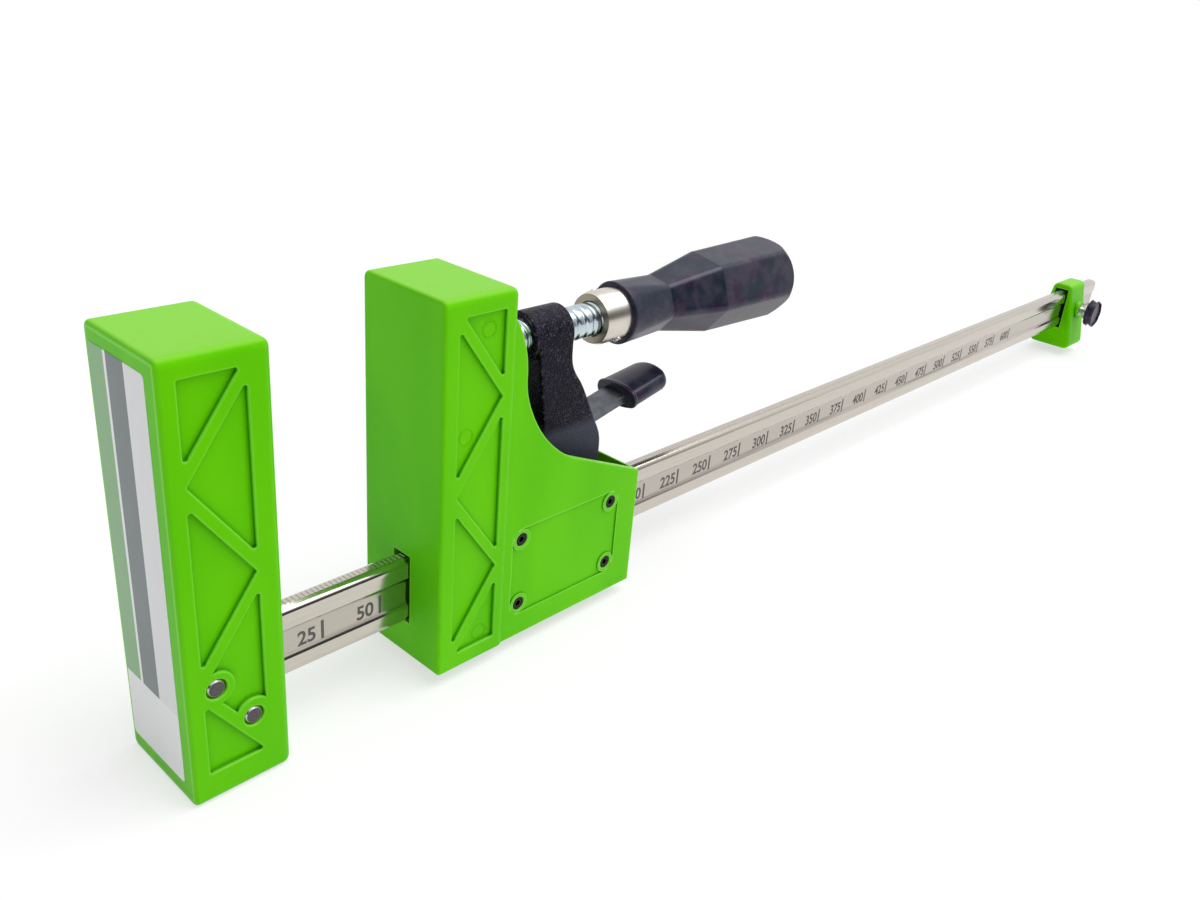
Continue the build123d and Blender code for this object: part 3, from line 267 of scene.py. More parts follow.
class ClampLabel(bpy.types.PropertyGroup):
    """The plain striped label on the back of the fixed jaw."""

    far: length("Far edge", "Place of the edge on the far side", 0.0196)
    near: length("Near edge", "Place of the edge on the near side", -0.0146)
    low: length("Lower edge", "Height of the lower edge over the foot", 0.0066)
    high: length("Upper edge", "Height of the upper edge over the foot", 0.1489)
    corner: length("Corner radius", "Radius of the corners", 0.0015)
    thickness: length("Thickness", "Thickness of the film", 0.00012)
    sage_edge: length("Pale stripe's edge", "Where the pale stripe ends", 0.0099)
    slate_start: length("Dark stripe's start", "Where the dark stripe starts", 0.0083)
    slate_end: length("Dark stripe's end", "Where the dark stripe ends", -0.0026)
    stripe_foot: length("Stripes' foot", "Height at which the stripes end over the foot", 0.0332)


class ClampStudio(bpy.types.PropertyGroup):
    """Camera, lights and backdrop."""

    camera_place: bpy.props.FloatVectorProperty(
        name="Camera", description="Where the camera stands", subtype="TRANSLATION",
        default=(-0.155226, -0.285207, 0.186791), precision=5,
    )
    camera_turn: angle("Camera turn", "Side from which the camera looks", math.radians(-48.825))
    camera_tilt: angle("Camera tilt", "Height of the camera over the horizon", math.radians(25.012))
    camera_roll: angle("Camera roll", "Lean of the camera", math.radians(5.18))
    lens: amount("Lens", "Focal length in millimetres on a 36 mm sensor", 32.504)
    sky: amount("Sky light", "Strength of the light from all sides", 0.5)
    room: amount("Room", "Brightness of the dim room behind the camera, as polished parts mirror it", 0.06)
    lamp: amount("Lamp", "Strength of the soft lamp above", 2.35)
    lamp_spread: angle("Lamp spread", "Apparent width of the soft lamp", math.radians(50))
    lamp_near: angle("Lamp near", "How far the lamp stands off to the near side", math.radians(14))
    lamp_along: angle("Lamp along", "How far the lamp stands off along the rail", math.radians(20))
    floor: colour("Floor", "Paper floor", (0.97, 0.97, 0.97))
    floor_glow: amount("Floor glow", "How much of the plain white backdrop the floor shows", 0.62)
    floor_size: length("Floor size", "Width of the floor", 60.0)


# Node graphs

class Wire:
    """An output socket that arithmetic can be written on."""

    def __init__(self, graph, socket):
        self.graph = graph
        self.socket = socket

    def maths(self, operation, *others):
        """A Math node on this number and the others, in that order."""
        return self.graph.maths(operation, self, *others)

    def __add__(self, other):
        return self.maths("ADD", other)

    def __radd__(self, other):
        return self.graph.maths("ADD", other, self)

    def __sub__(self, other):
        return self.maths("SUBTRACT", other)

    def __rsub__(self, other):
        return self.graph.maths("SUBTRACT", other, self)

    def __mul__(self, other):
        return self.maths("MULTIPLY", other)

    def __rmul__(self, other):
        return self.graph.maths("MULTIPLY", other, self)

    def __truediv__(self, other):
        return self.maths("DIVIDE", other)

    def __rtruediv__(self, other):
        return self.graph.maths("DIVIDE", other, self)

    def __abs__(self):
        return self.maths("ABSOLUTE")

    def __gt__(self, other):
        return self.maths("GREATER_THAN", other)

    def __lt__(self, other):
        return self.maths("LESS_THAN", other)


class Graph:
    """Adds nodes to a tree."""

    def __init__(self, tree):
        self.tree = tree

    def node(self, kind, settings=None, values=None, output=0):
        """One node: its settings come first, then the values or links of its sockets."""
        made = self.tree.nodes.new(kind)
        for key, value in (settings or {}).items():
            setattr(made, key, value)
        for key, value in (values or {}).items():
            if isinstance(value, Wire):
                self.tree.links.new(value.socket, made.inputs[key])
            else:
                made.inputs[key].default_value = value
        return Wire(self, made.outputs[output])

    def maths(self, operation, *operands):
        return self.node("ShaderNodeMath", {"operation": operation}, dict(enumerate(operands)))

    def dot(self, one, two):
        """How far two directions agree."""
        return self.node("ShaderNodeVectorMath", {"operation": "DOT_PRODUCT"}, {0: one, 1: two}, "Value")

    def split(self, vector):
        """The three numbers of a vector."""
        first = self.node("ShaderNodeSeparateXYZ", values={0: vector})
        return [Wire(self, socket) for socket in first.socket.node.outputs]

    def join(self, x, y=0.0, z=0.0):
        return self.node("ShaderNodeCombineXYZ", values={0: x, 1: y, 2: z})

    def smooth(self, value, low, high):
        """Rises smoothly from 0 to 1 while value goes from low to high."""
        values = {"Value": value, "From Min": low, "From Max": high}
        return self.node("ShaderNodeMapRange", {"interpolation_type": "SMOOTHSTEP"}, values)


class Finish(Graph):
    """One procedural surface."""

    def __init__(self, name, **constants):
        self.material = bpy.data.materials.new(name)
        self.material.use_nodes = True
        super().__init__(self.material.node_tree)
        self.surface = self.tree.nodes["Principled BSDF"]
        for key, value in constants.items():
            self.surface.inputs[key.replace("_", " ")].default_value = value
        self.place = self.node("ShaderNodeTexCoord", output="Object")

    def feed(self, socket, wire):
        self.tree.links.new(wire.socket, self.surface.inputs[socket])

    def stretched(self, scale, centre=(0, 0, 0)):
        """Object coordinates moved to a centre and scaled along each axis."""
        moved = self.node("ShaderNodeVectorMath", {"operation": "SUBTRACT"}, {0: self.place, 1: centre})
        return self.node("ShaderNodeMapping", values={"Vector": moved, "Scale": scale})

    def noise(self, size, detail=2.0, roughness=0.5, vector=None):
        """Cloudy noise whose blobs are about as large as size."""
        return self.node("ShaderNodeTexNoise", values={
            "Vector": vector or self.place,
            "Scale": 1 / size,
            "Detail": detail,
            "Roughness": roughness,
        })

    def pits(self, size):
        """Rounded grains about as large as size."""
        values = {"Vector": self.place, "Scale": 1 / size}
        return self.node("ShaderNodeTexVoronoi", {"feature": "SMOOTH_F1"}, values)

    def mix(self, factor, low, high):
        """Goes from one colour to another."""
        ends = {key: end if isinstance(end, Wire) else (*end, 1.0) for key, end in ((6, low), (7, high))}
        return self.node("ShaderNodeMix", {"data_type": "RGBA"}, {0: factor, **ends}, output=2)

    def facing(self):
        """The three numbers of the direction that the surface faces."""
        return self.split(self.node("ShaderNodeTexCoord", output="Normal"))

    def rounded(self, radius):
        """The surface's normal with its edges eased."""
        return self.node("ShaderNodeBevel", {"samples": NEAR_SAMPLES}, {"Radius": radius})

    def openness(self, reach, inside=False):
        """1 where the surface is open, less in corners, or along edges when looked at from inside."""
        settings = {"samples": NEAR_SAMPLES, "only_local": True, "inside": inside}
        return self.node("ShaderNodeAmbientOcclusion", settings, {"Distance": reach}, output="AO")

    def hollow(self, reach):
        """Where painted shade is laid: 1 on the walls deep in a pocket, faint on its floor, 0 on open faces.
        """
        wall = 1 - 0.75 * abs(self.facing()[1])
        return wall * self.smooth(self.openness(reach), 0.97, 0.6)

    def upward(self):
        """1 where the surface faces up."""
        return self.smooth(self.facing()[2], 0.5, 0.95)

    def corner(self, radius):
        """1 along the edges between facets, 0 on flat faces."""
        flat = self.node("ShaderNodeNewGeometry", output="Normal")
        return self.smooth(self.dot(flat, self.rounded(radius)), 0.995, 0.95)

    def rim(self, reach):
        """1 along outer edges, 0 on open faces."""
        return self.smooth(self.openness(reach, True), 0.97, 0.7)

    def off_axis(self, middle, height):
        """Distance from an axis across the clamp, at this place along the rail and this height."""
        x, _, z = self.split(self.place)
        across, rise = x - middle, z - height
        return (across * across + rise * rise).maths("SQRT")

    def nearest_ring(self, marks):
        """1 away from the moulding marks and 0 in their thin rings, each mark an x, a z and a radius."""
        clear = 1.0
        for middle, height, radius in marks:
            clear = clear * self.smooth(abs(self.off_axis(middle, height) - radius), 0.1 * MM, 0.5 * MM)
        return clear

    def bump(self, height, depth, under=None):
        """Turns a height between 0 and 1 into a relief of that depth."""
        values = {"Height": height, "Distance": depth, "Strength": 1.0}
        if under:
            values["Normal"] = under
        return self.node("ShaderNodeBump", values=values)


def colours():
    return bpy.context.scene.clamp_colours


def deeper(base, share):
    """A colour at this share of its brightness."""
    return tuple(share * v for v in base)


def wearing(slot):
    """The solid pieces that the record gives this finish."""
    parts = frame["record"]["subparts"]
    return [frame["nodes"][part["node"]] for part in parts if part["material_slot"] == slot]


def paint(pieces, finish):
    for piece in pieces:
        piece.data.materials.clear()
        piece.data.materials.append(finish.material)


def link(name, data):
    """A new object in the scene, with its data named like it."""
    data.name = name
    made = bpy.data.objects.new(name, data)
    bpy.context.scene.collection.objects.link(made)
    return made


def add_piece(name, mesh, body, finish, stands_for=None):
    """A finished piece that rides on a body, in the place of a solid if it stands for one."""
    piece = link(name, mesh)
    paint([piece], finish)
    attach(piece, body)
    if stands_for:
        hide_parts(stands_for)


def mesh_of(shape):
    """Turns a shape into a mesh and frees the shape."""
    mesh = bpy.data.meshes.new("shape")
    shape.to_mesh(mesh)
    shape.free()
    return mesh


def tidy(mesh):
    """Merges doubles and points every face outwards."""
    shape = bmesh.new()
    shape.from_mesh(mesh)
    bmesh.ops.remove_doubles(shape, verts=shape.verts, dist=MERGE)
    bmesh.ops.recalc_face_normals(shape, faces=shape.faces)
    shape.to_mesh(mesh)
    shape.free()


# Finishes

def green_finish(marks):
    """Satin moulded plastic: a fine spark-eroded skin, faint flow clouds and the ejector pins' marks, with
    painted light on the faces turned up, painted highlights along the outer edges and painted shade deep in
    the pockets.
    """
    c = colours()
    made = Finish("green_plastic", Specular_IOR_Level=0.17, Specular_Tint=(0.4, 1.0, 0.05, 1.0))
    flow = made.noise(30 * MM, vector=made.stretched((1, 1, 0.35)))
    skin = made.noise(0.55 * MM, 3.0, 0.6)
    clouded = made.mix(made.smooth(flow, 0.3, 0.7), c.green_deep, c.green)
    # Painted light: faces turned up are laid paler
    top_lit = made.mix(made.upward(), clouded, c.green_faded)
    # Painted highlight along the outer edges
    edge_lit = made.mix(0.7 * made.rim(0.7 * MM), top_lit, c.green_rim)
    # Painted shade deep in the pockets
    made.feed("Base Color", made.mix(0.85 * made.hollow(1.8 * MM), edge_lit, c.green_hollow))
    made.feed("Roughness", 0.36 + 0.1 * made.noise(6 * MM) + 0.05 * skin)
    marked = made.bump(made.nearest_ring(marks), 0.3 * MM, made.rounded(0.25 * MM))
    made.feed("Normal", made.bump(skin, 0.012 * MM, marked))
    return made


def casting_finish():
    """Black paint over a rough sand-cast skin, smooth low down; its raised grains are laid paler as worn
    paint and painted glints, bright flecks are painted glints, and the nicks along its edges are partly wear
    and partly painted highlight.
    """
    c = colours()
    made = Finish("black_casting", Specular_IOR_Level=0.12, Specular_Tint=(0.75, 0.7, 1.0, 1.0))
    low, high = (FOOT + height for height in ROUGH_CASTING)
    rough = made.smooth(made.split(made.place)[2], low, high)
    relief = 0.5 * made.noise(1.2 * MM, 3.0, 0.65) + 0.5 * made.pits(0.7 * MM)
    raised_grains = made.smooth(relief, 0.5, 0.62)
    patch = made.smooth(made.noise(6 * MM), 0.3, 0.65)
    # Painted glints: rare bright flecks
    glint = 0.6 * made.smooth(made.noise(0.4 * MM, 1.0), 0.64, 0.76)
    # Nicks along the edges, partly wear and partly painted highlight
    nick_and_edge_highlight = made.rim(0.7 * MM) * made.smooth(made.noise(3 * MM), 0.5, 0.65)
    # Painted glints: the raised grains are laid paler, as worn paint and as glints
    grains_worn_and_glinting = made.mix(raised_grains * patch, c.casting, c.casting_grain)
    spots = 0.7 * made.smooth(made.noise(0.9 * MM), 0.35, 0.7)
    mottled = made.mix(spots, c.casting_smooth, c.casting_grain)
    rubbed = made.mix(0.85 * (1 - rough), grains_worn_and_glinting, mottled)
    made.feed("Base Color", made.mix(glint.maths("MAXIMUM", nick_and_edge_highlight), rubbed, c.casting_fleck))
    made.feed("Roughness", 0.42 - 0.2 * raised_grains)
    made.feed("Normal", made.bump(relief * (0.25 + 0.75 * rough), 0.5 * MM, made.rounded(0.6 * MM)))
    return made


def rail_finish():
    """Polished nickel plate with a fine grain along the bar, darker in its grooves, with painted dark
    reflections low in them.
    """
    c = colours()
    r = bpy.context.scene.clamp_rail
    made = Finish("rail_steel", Metallic=1.0)
    grain = made.noise(0.5 * MM, 3.0, 0.65, made.stretched((0.012, 1, 1)))
    broad = made.noise(2.5 * MM, vector=made.stretched((0.02, 1, 1)))
    _, across, height = made.split(made.place)
    below = FOOT + r.groove_middle - height
    half = r.groove_height / 2
    sunk = made.smooth(abs(across), 4.2 * MM, 3.8 * MM) * made.smooth(abs(below), 1.12 * half, half)
    # Painted reflection: dark streaks low in the grooves
    painted_reflection = sunk * made.smooth(below, 0.56 * half, half) * made.smooth(broad, 0.3, 0.6)
    rolled = made.mix(made.smooth(grain, 0.35, 0.75), c.rail, c.rail_streak)
    darkened_in_grooves = made.mix(0.6 * sunk, rolled, c.rail_groove)
    made.feed("Base Color", made.mix(0.75 * painted_reflection, darkened_in_grooves, c.rail_stain))
    made.feed("Roughness", 0.09 + 0.08 * grain + 0.05 * broad)
    made.feed("Normal", made.bump(0.6 * grain + 0.4 * broad, 0.005 * MM))
    return made


def steel_finish(name, base, rough):
    """Plain plated steel with fine scratches and a slightly cloudy sheen."""
    made = Finish(name, Metallic=1.0)
    scratch = made.noise(0.6 * MM, 3.0, 0.7, made.stretched((0.15, 1, 1)))
    cloud = made.smooth(made.noise(4 * MM), 0.3, 0.7)
    made.feed("Base Color", made.mix(cloud, deeper(base, 0.7), base))
    made.feed("Roughness", rough + 0.14 * scratch)
    made.feed("Normal", made.bump(scratch, 0.01 * MM, made.rounded(0.4 * MM)))
    return made


def pin_finish(axes):
    """Pressed pins: a dark faced end with turning marks inside a bright chamfer."""
    c = colours()
    made = Finish("pin_end", Metallic=1.0)
    nearest = 1.0
    for middle, height in axes:
        nearest = made.off_axis(middle, height).maths("MINIMUM", nearest)
    edge = made.smooth(nearest, 2.5 * MM, 2.8 * MM)
    grit = made.noise(0.4 * MM, roughness=0.6)
    marks = 0.5 * made.noise(0.3 * MM, roughness=0.6, vector=made.join(nearest)) + 0.5 * grit
    faced = made.mix(made.smooth(marks, 0.4, 0.65), deeper(c.steel, 0.5), c.steel)
    made.feed("Base Color", made.mix(edge, faced, c.pin_edge))
    made.feed("Roughness", 0.42 - 0.24 * edge + 0.1 * grit)
    made.feed("Normal", made.bump(marks, 0.03 * MM))
    return made


def turned_finish(name, base, shade, pitch, rough, axis=0, centre=(0, 0, 0), faced=None):
    """Turned and plated metal with tool rings along its axis, and, if faced gives a place and a colour, a
    painted dark reflection on its end in front of that place.
    """
    made = Finish(name, Metallic=1.0)
    along = made.split(made.stretched((1, 1, 1), centre))[axis]
    rings = made.noise(pitch, roughness=0.6, vector=made.join(along))
    cloud = made.noise(8 * MM)
    plated = made.mix(made.smooth(cloud, 0.3, 0.8), base, shade)
    if faced:
        end, front_reflection = faced
        # Painted reflection: the end in front of the given place is laid darker
        plated = made.mix(along < end, plated, front_reflection)
    made.feed("Base Color", plated)
    made.feed("Roughness", rough + 0.08 * rings + 0.05 * cloud)
    made.feed("Normal", made.bump(rings, 0.008 * MM, made.rounded(0.6 * MM)))
    return made


def nickel_finish(front):
    """Smooth nickel plate, with a painted dark reflection on its front end in front of this place."""
    c = colours()
    faced = (front, c.nickel_face)
    return turned_finish("nickel", c.nickel, deeper(c.nickel, 0.92), 0.4 * MM, 0.24, faced=faced)


def black_plastic_finish():
    """Glossy moulded plastic with a faint pale bloom, fine handling marks and painted highlights along the
    edges between its facets.
    """
    c = colours()
    made = Finish("black_plastic", Specular_IOR_Level=0.32, Specular_Tint=(0.8, 0.78, 1.0, 1.0))
    bloom = made.noise(9 * MM, 3.0, 0.6)
    skin = made.noise(0.7 * MM, 3.0, 0.6)
    hue = made.mix(made.smooth(made.noise(16 * MM), 0.42, 0.58), c.handle, c.handle_blue)
    bloomed = made.mix(0.9 * made.smooth(bloom, 0.4, 0.72), hue, c.handle_bloom)
    # Painted highlight along the edges between facets
    made.feed("Base Color", made.mix(0.5 * made.corner(0.5 * MM), bloomed, c.handle_rim))
    made.feed("Roughness", 0.22 + 0.12 * bloom + 0.03 * skin)
    made.feed("Normal", made.bump(skin, 0.003 * MM, made.rounded(0.6 * MM)))
    return made


def plain_finish(name, base, rough, metallic=0.0):
    """A small hidden or dark part: even colour with a little grain, paler along its edges as a painted
    highlight.
    """
    made = Finish(name, Metallic=metallic)
    grain = made.noise(0.8 * MM, 3.0, 0.6)
    paler = tuple(min(1.0, 0.06 + 1.4 * v) for v in base)
    even = made.mix(grain, deeper(base, 0.82), base)
    # Painted highlight along the outer edges
    made.feed("Base Color", made.mix(0.8 * made.rim(0.5 * MM), even, paler))
    made.feed("Roughness", rough + 0.12 * grain)
    made.feed("Normal", made.bump(grain, 0.01 * MM))
    return made


# Operators

class CLAMP_OT_green_mouldings(bpy.types.Operator):
    """Give the green covers, the back plate and the end stop their satin plastic"""

    bl_idname = "clamp.green_mouldings"
    bl_label = "Green mouldings"

    def execute(self, context):
        marks = [(x, FOOT + height, radius) for x, height, radius in EJECTOR_MARKS]
        paint(wearing("green_plastic"), green_finish(marks))
        return {"FINISHED"}


class CLAMP_OT_castings(bpy.types.Operator):
    """Give the sliding arm and the jaws' cores their rough black paint"""

    bl_idname = "clamp.castings"
    bl_label = "Castings"

    def execute(self, context):
        paint(wearing("black_casting"), casting_finish())
        return {"FINISHED"}


class CLAMP_OT_steel_parts(bpy.types.Operator):
    """Give pins, trigger lever, ferrule pin and small screws their metals"""

    bl_idname = "clamp.steel_parts"
    bl_label = "Steel parts"

    def execute(self, context):
        c = colours()
        paint(wearing("pin_steel"), steel_finish("pin_steel", c.steel, 0.28))
        axes = [(x, FOOT + height) for x, height in JAW_PINS]
        paint([frame["nodes"]["fixed_jaw_pins"]], pin_finish(axes))
        paint(wearing("strap_steel"), steel_finish("strap_steel", c.strap, 0.34))
        paint(wearing("nickel"), nickel_finish(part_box("ferrule")[0].x + FRONT_REFLECTION_DEPTH))
        paint(wearing("screw_black"), plain_finish("screw_black", c.oxide, 0.34, 1.0))
        return {"FINISHED"}


class CLAMP_OT_black_plastics(bpy.types.Operator):
    """Give the handle its black plastic"""

    bl_idname = "clamp.black_plastics"
    bl_label = "Black plastics"

    def execute(self, context):
        paint(wearing("black_plastic"), black_plastic_finish())
        return {"FINISHED"}


class CLAMP_OT_hidden_parts(bpy.types.Operator):
    """Give the nylon guide plates and the brass insert their finishes"""

    bl_idname = "clamp.hidden_parts"
    bl_label = "Hidden parts"

    def execute(self, context):
        c = colours()
        paint(wearing("white_nylon"), plain_finish("white_nylon", c.nylon, 0.4))
        paint(wearing("brass"), plain_finish("brass", c.brass, 0.25, 1.0))
        return {"FINISHED"}


# Repeated and rule-made shapes

def node_tree(name, **kinds):
    """A Geometry Nodes tree with named inputs of these kinds."""
    tree = bpy.data.node_groups.new(name, "GeometryNodeTree")
    for key, kind in kinds.items():
        tree.interface.new_socket(key, in_out="INPUT", socket_type=f"NodeSocket{kind}")
    tree.interface.new_socket("Geometry", in_out="OUTPUT", socket_type="NodeSocketGeometry")
    graph = Graph(tree)
    source = tree.nodes.new("NodeGroupInput")
    return graph, {key: Wire(graph, source.outputs[key]) for key in kinds}


def close_tree(graph, geometry, material):
    """Realizes instances, sets the material and ends the tree."""
    real = graph.node("GeometryNodeRealizeInstances", values={"Geometry": geometry})
    dressed = graph.node("GeometryNodeSetMaterial", values={"Geometry": real, "Material": material})
    graph.tree.links.new(dressed.socket, graph.tree.nodes.new("NodeGroupOutput").inputs[0])


def plain_mesh(holder):
    """The mesh that an object shows. The object goes, and its modifiers with it."""
    shown = holder.evaluated_get(bpy.context.evaluated_depsgraph_get())
    mesh = bpy.data.meshes.new_from_object(shown)
    bpy.data.objects.remove(holder)
    return mesh


def grown_mesh(graph, values):
    """Runs a tree with these inputs and returns its result as a plain mesh."""
    name = graph.tree.name
    seed = link(name, bpy.data.meshes.new(name))
    modifier = seed.modifiers.new(name, "NODES")
    modifier.node_group = graph.tree
    for socket in graph.tree.interface.items_tree:
        if socket.in_out == "INPUT":
            modifier[socket.identifier] = values[socket.name]
    mesh = plain_mesh(seed)
    if not mesh.polygons:
        raise RuntimeError(f"the nodes for {name} made no faces")
    return mesh


def thread_graph():
    """A rod along X with a right-hand thread, closed at both ends."""
    graph, given = node_tree(
        "thread", Start="Float", Length="Float", Radius="Float", Depth="Float", Pitch="Float",
        Rows="Int", Sides="Int", Material="Material",
    )
    grid = graph.node("GeometryNodeMeshGrid", values={
        "Size X": given["Length"],
        "Size Y": 1.0,
        "Vertices X": given["Rows"],
        "Vertices Y": given["Sides"],
    })
    x, turns, _ = graph.split(graph.node("GeometryNodeInputPosition"))
    along = x + given["Length"] / 2
    phase = (along / given["Pitch"] - turns + 1.0).maths("FRACT")
    ridge = 1.0 - 2.0 * abs(phase - 0.5)
    fade_in = graph.smooth(along, 0.0, given["Pitch"])
    fade_out = graph.smooth(given["Length"] - along, 0.0, given["Pitch"] * 0.5)
    crest = graph.smooth(ridge, 0.05, 0.5) * (fade_in * fade_out)
    closed = (along > MERGE) * (along < given["Length"] - MERGE)
    radius = closed * (given["Radius"] - given["Depth"] * (1.0 - crest))
    spin = turns * (2 * math.pi)
    place = graph.join(given["Start"] + along, radius * spin.maths("COSINE"), radius * spin.maths("SINE"))
    rod = graph.node("GeometryNodeSetPosition", values={"Geometry": grid, "Position": place})
    merged = graph.node("GeometryNodeMergeByDistance", values={"Geometry": rod, "Distance": 2 * MERGE})
    soft = graph.node("GeometryNodeSetShadeSmooth", values={"Geometry": merged, "Shade Smooth": True})
    close_tree(graph, soft, given["Material"])
    return graph


def thread_mesh(finish, ends, radius, depth, pitch, steps, sides):
    """A thread along X between two ends, worked out in so many steps a turn and sides round it."""
    start, end = ends
    return grown_mesh(thread_graph(), {
        "Start": start,
        "Length": end - start,
        "Radius": radius,
        "Depth": depth,
        "Pitch": pitch,
        "Rows": round((end - start) / pitch * steps) + 1,
        "Sides": sides + 1,
        "Material": finish.material,
    })


def notch_graph():
    """A row of low lands along X, with a notch between each two."""
    graph, given = node_tree(
        "notches", Start="Vector", Count="Int", Pitch="Float", Land="Vector", Slope="Float",
        Material="Material",
    )
    half = math.sqrt(0.5)  # Radius to the corners of a square of side 1
    cone = {"Vertices": 4, "Radius Top": given["Slope"] * half, "Radius Bottom": half, "Depth": 1.0}
    land = graph.node("GeometryNodeMeshCone", values=cone)
    upright = graph.node("GeometryNodeTransform", values={"Geometry": land, "Rotation": (0, 0, math.pi / 4)})
    sized = graph.node("GeometryNodeTransform", values={"Geometry": upright, "Scale": given["Land"]})
    run = {"Count": given["Count"], "Start Location": given["Start"], "Offset": graph.join(given["Pitch"])}
    line = graph.node("GeometryNodeMeshLine", {"mode": "OFFSET"}, run)
    row = graph.node("GeometryNodeInstanceOnPoints", values={"Points": line, "Instance": sized})
    close_tree(graph, row, given["Material"])
    return graph


def quarter(steps):
    """Angles from 0 to a quarter turn."""
    return [math.pi / 2 * k / steps for k in range(steps + 1)]


def circle(sides):
    """Angles once round."""
    return [2 * math.pi * i / sides for i in range(sides)]


def eased(corners, steps=6):
    """A closed outline with rounded corners, each given as (across, up, radius)."""
    points = []
    for i, (across, up, radius) in enumerate(corners):
        here = Vector((across, up))
        back = (Vector(corners[i - 1][:2]) - here).normalized()
        on = (Vector(corners[(i + 1) % len(corners)][:2]) - here).normalized()
        run = radius / math.tan(back.angle(on) / 2)
        for k in range(steps + 1):
            t = k / steps
            points.append(here + back * run * (1 - t) ** 2 + on * run * t ** 2)
    return points


def ringed_mesh(rings):
    """A closed smooth mesh through rings of as many points each, or of one point at a pole."""
    shape = bmesh.new()
    rows = [[shape.verts.new(point) for point in ring] for ring in rings]
    count = max(len(row) for row in rows)
    for one, two in zip(rows, rows[1:]):
        for i in range(count):
            k = (i + 1) % count
            corners = [row[j % len(row)] for row, j in ((one, i), (one, k), (two, k), (two, i))]
            shape.faces.new(list(dict.fromkeys(corners)))
    for end in (rows[0], rows[-1]):
        if len(end) > 1:
            shape.faces.new(end)
    bmesh.ops.remove_doubles(shape, verts=shape.verts, dist=MERGE)
    bmesh.ops.recalc_face_normals(shape, faces=shape.faces)
    mesh = mesh_of(shape)
    mesh.shade_smooth()
    mesh.set_sharp_from_angle(angle=SHARP)
    return mesh


def turned_mesh(profile, sides=48):
    """A mesh turned about the X axis from (place, radius) pairs that start and end on the axis."""
    rings = []
    for x, radius in profile:
        spins = circle(sides) if radius else [0.0]
        rings.append([(x, radius * math.cos(spin), radius * math.sin(spin)) for spin in spins])
    return ringed_mesh(rings)


class CLAMP_OT_rail_bar(bpy.types.Operator):
    """Draw the rail's section with eased shoulders and grooves"""

    bl_idname = "clamp.rail_bar"
    bl_label = "Rail bar"

    def execute(self, context):
        r = context.scene.clamp_rail
        low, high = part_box("rail")
        floor = high.y - context.scene.clamp_scale.groove_depth
        middle, half = FOOT + r.groove_middle, r.groove_height / 2
        side = [
            (r.crown_half, high.z, r.crown_radius),
            (high.y, high.z - r.crown, r.shoulder_radius),
            (high.y, middle + half + r.groove_bevel, r.groove_lip),
            (floor, middle + half, r.groove_radius / 2),
            (floor, middle - half, r.groove_radius),
            (high.y, middle - half - r.groove_bevel, r.groove_lip),
            (high.y, low.z + r.crown, r.shoulder_radius),
            (r.crown_half, low.z, r.crown_radius),
        ]
        outline = eased(side + [(-across, up, radius) for across, up, radius in reversed(side)])
        rings = [[(x, point.x, point.y) for point in outline] for x in (low.x, high.x)]
        add_piece("rail_bar", ringed_mesh(rings), "frame", rail_finish(), "rail")
        return {"FINISHED"}


class CLAMP_OT_trigger_leaf(bpy.types.Operator):
    """Cut the leaf spring into slices across the line where its tongue bends, in the place of its solid"""

    bl_idname = "clamp.trigger_leaf"
    bl_label = "Trigger leaf"

    def execute(self, context):
        solid = frame["nodes"]["trigger_spring"]
        mesh = solid.data.copy()
        mesh.transform(solid.matrix_world)
        tidy(mesh)
        start, end = (Vector((x, 0, FOOT + height)) for x, height in LEAF_BEND)
        shape = bmesh.new()
        shape.from_mesh(mesh)
        for i in range(1, LEAF_STEPS):
            cut = {"plane_co": start.lerp(end, i / LEAF_STEPS), "plane_no": end - start}
            bmesh.ops.bisect_plane(shape, geom=[*shape.verts, *shape.edges, *shape.faces], **cut)
        shape.to_mesh(mesh)
        shape.free()
        leaf = link("trigger_leaf", mesh)
        paint([leaf], steel_finish("trigger_leaf", colours().spring, 0.3))
        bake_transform(leaf)
        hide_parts("trigger_spring")
        return {"FINISHED"}


class CLAMP_OT_ferrule(bpy.types.Operator):
    """Turn the nickel ferrule in front of the handle"""

    bl_idname = "clamp.ferrule"
    bl_label = "Ferrule"

    def execute(self, context):
        t = context.scene.clamp_threads
        low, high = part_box("ferrule")
        radius = (high.z - low.z) / 2
        mesh = turned_mesh([
            (low.x + t.ferrule_mouth_depth, 0),
            (low.x + t.ferrule_mouth_depth, t.ferrule_mouth_radius),
            (low.x, t.ferrule_mouth_radius),
            (low.x, radius - t.ferrule_edge),
            (low.x + t.ferrule_edge_run, radius),
            (high.x, radius),
            (high.x, 0),
        ], ROUND_SIDES)
        mesh.transform(Matrix.Translation((0, (low.y + high.y) / 2, (low.z + high.z) / 2)))
        finish = nickel_finish(low.x + FRONT_REFLECTION_DEPTH)
        add_piece("ferrule_shell", mesh, "spindle_assembly", finish, "ferrule")
        return {"FINISHED"}


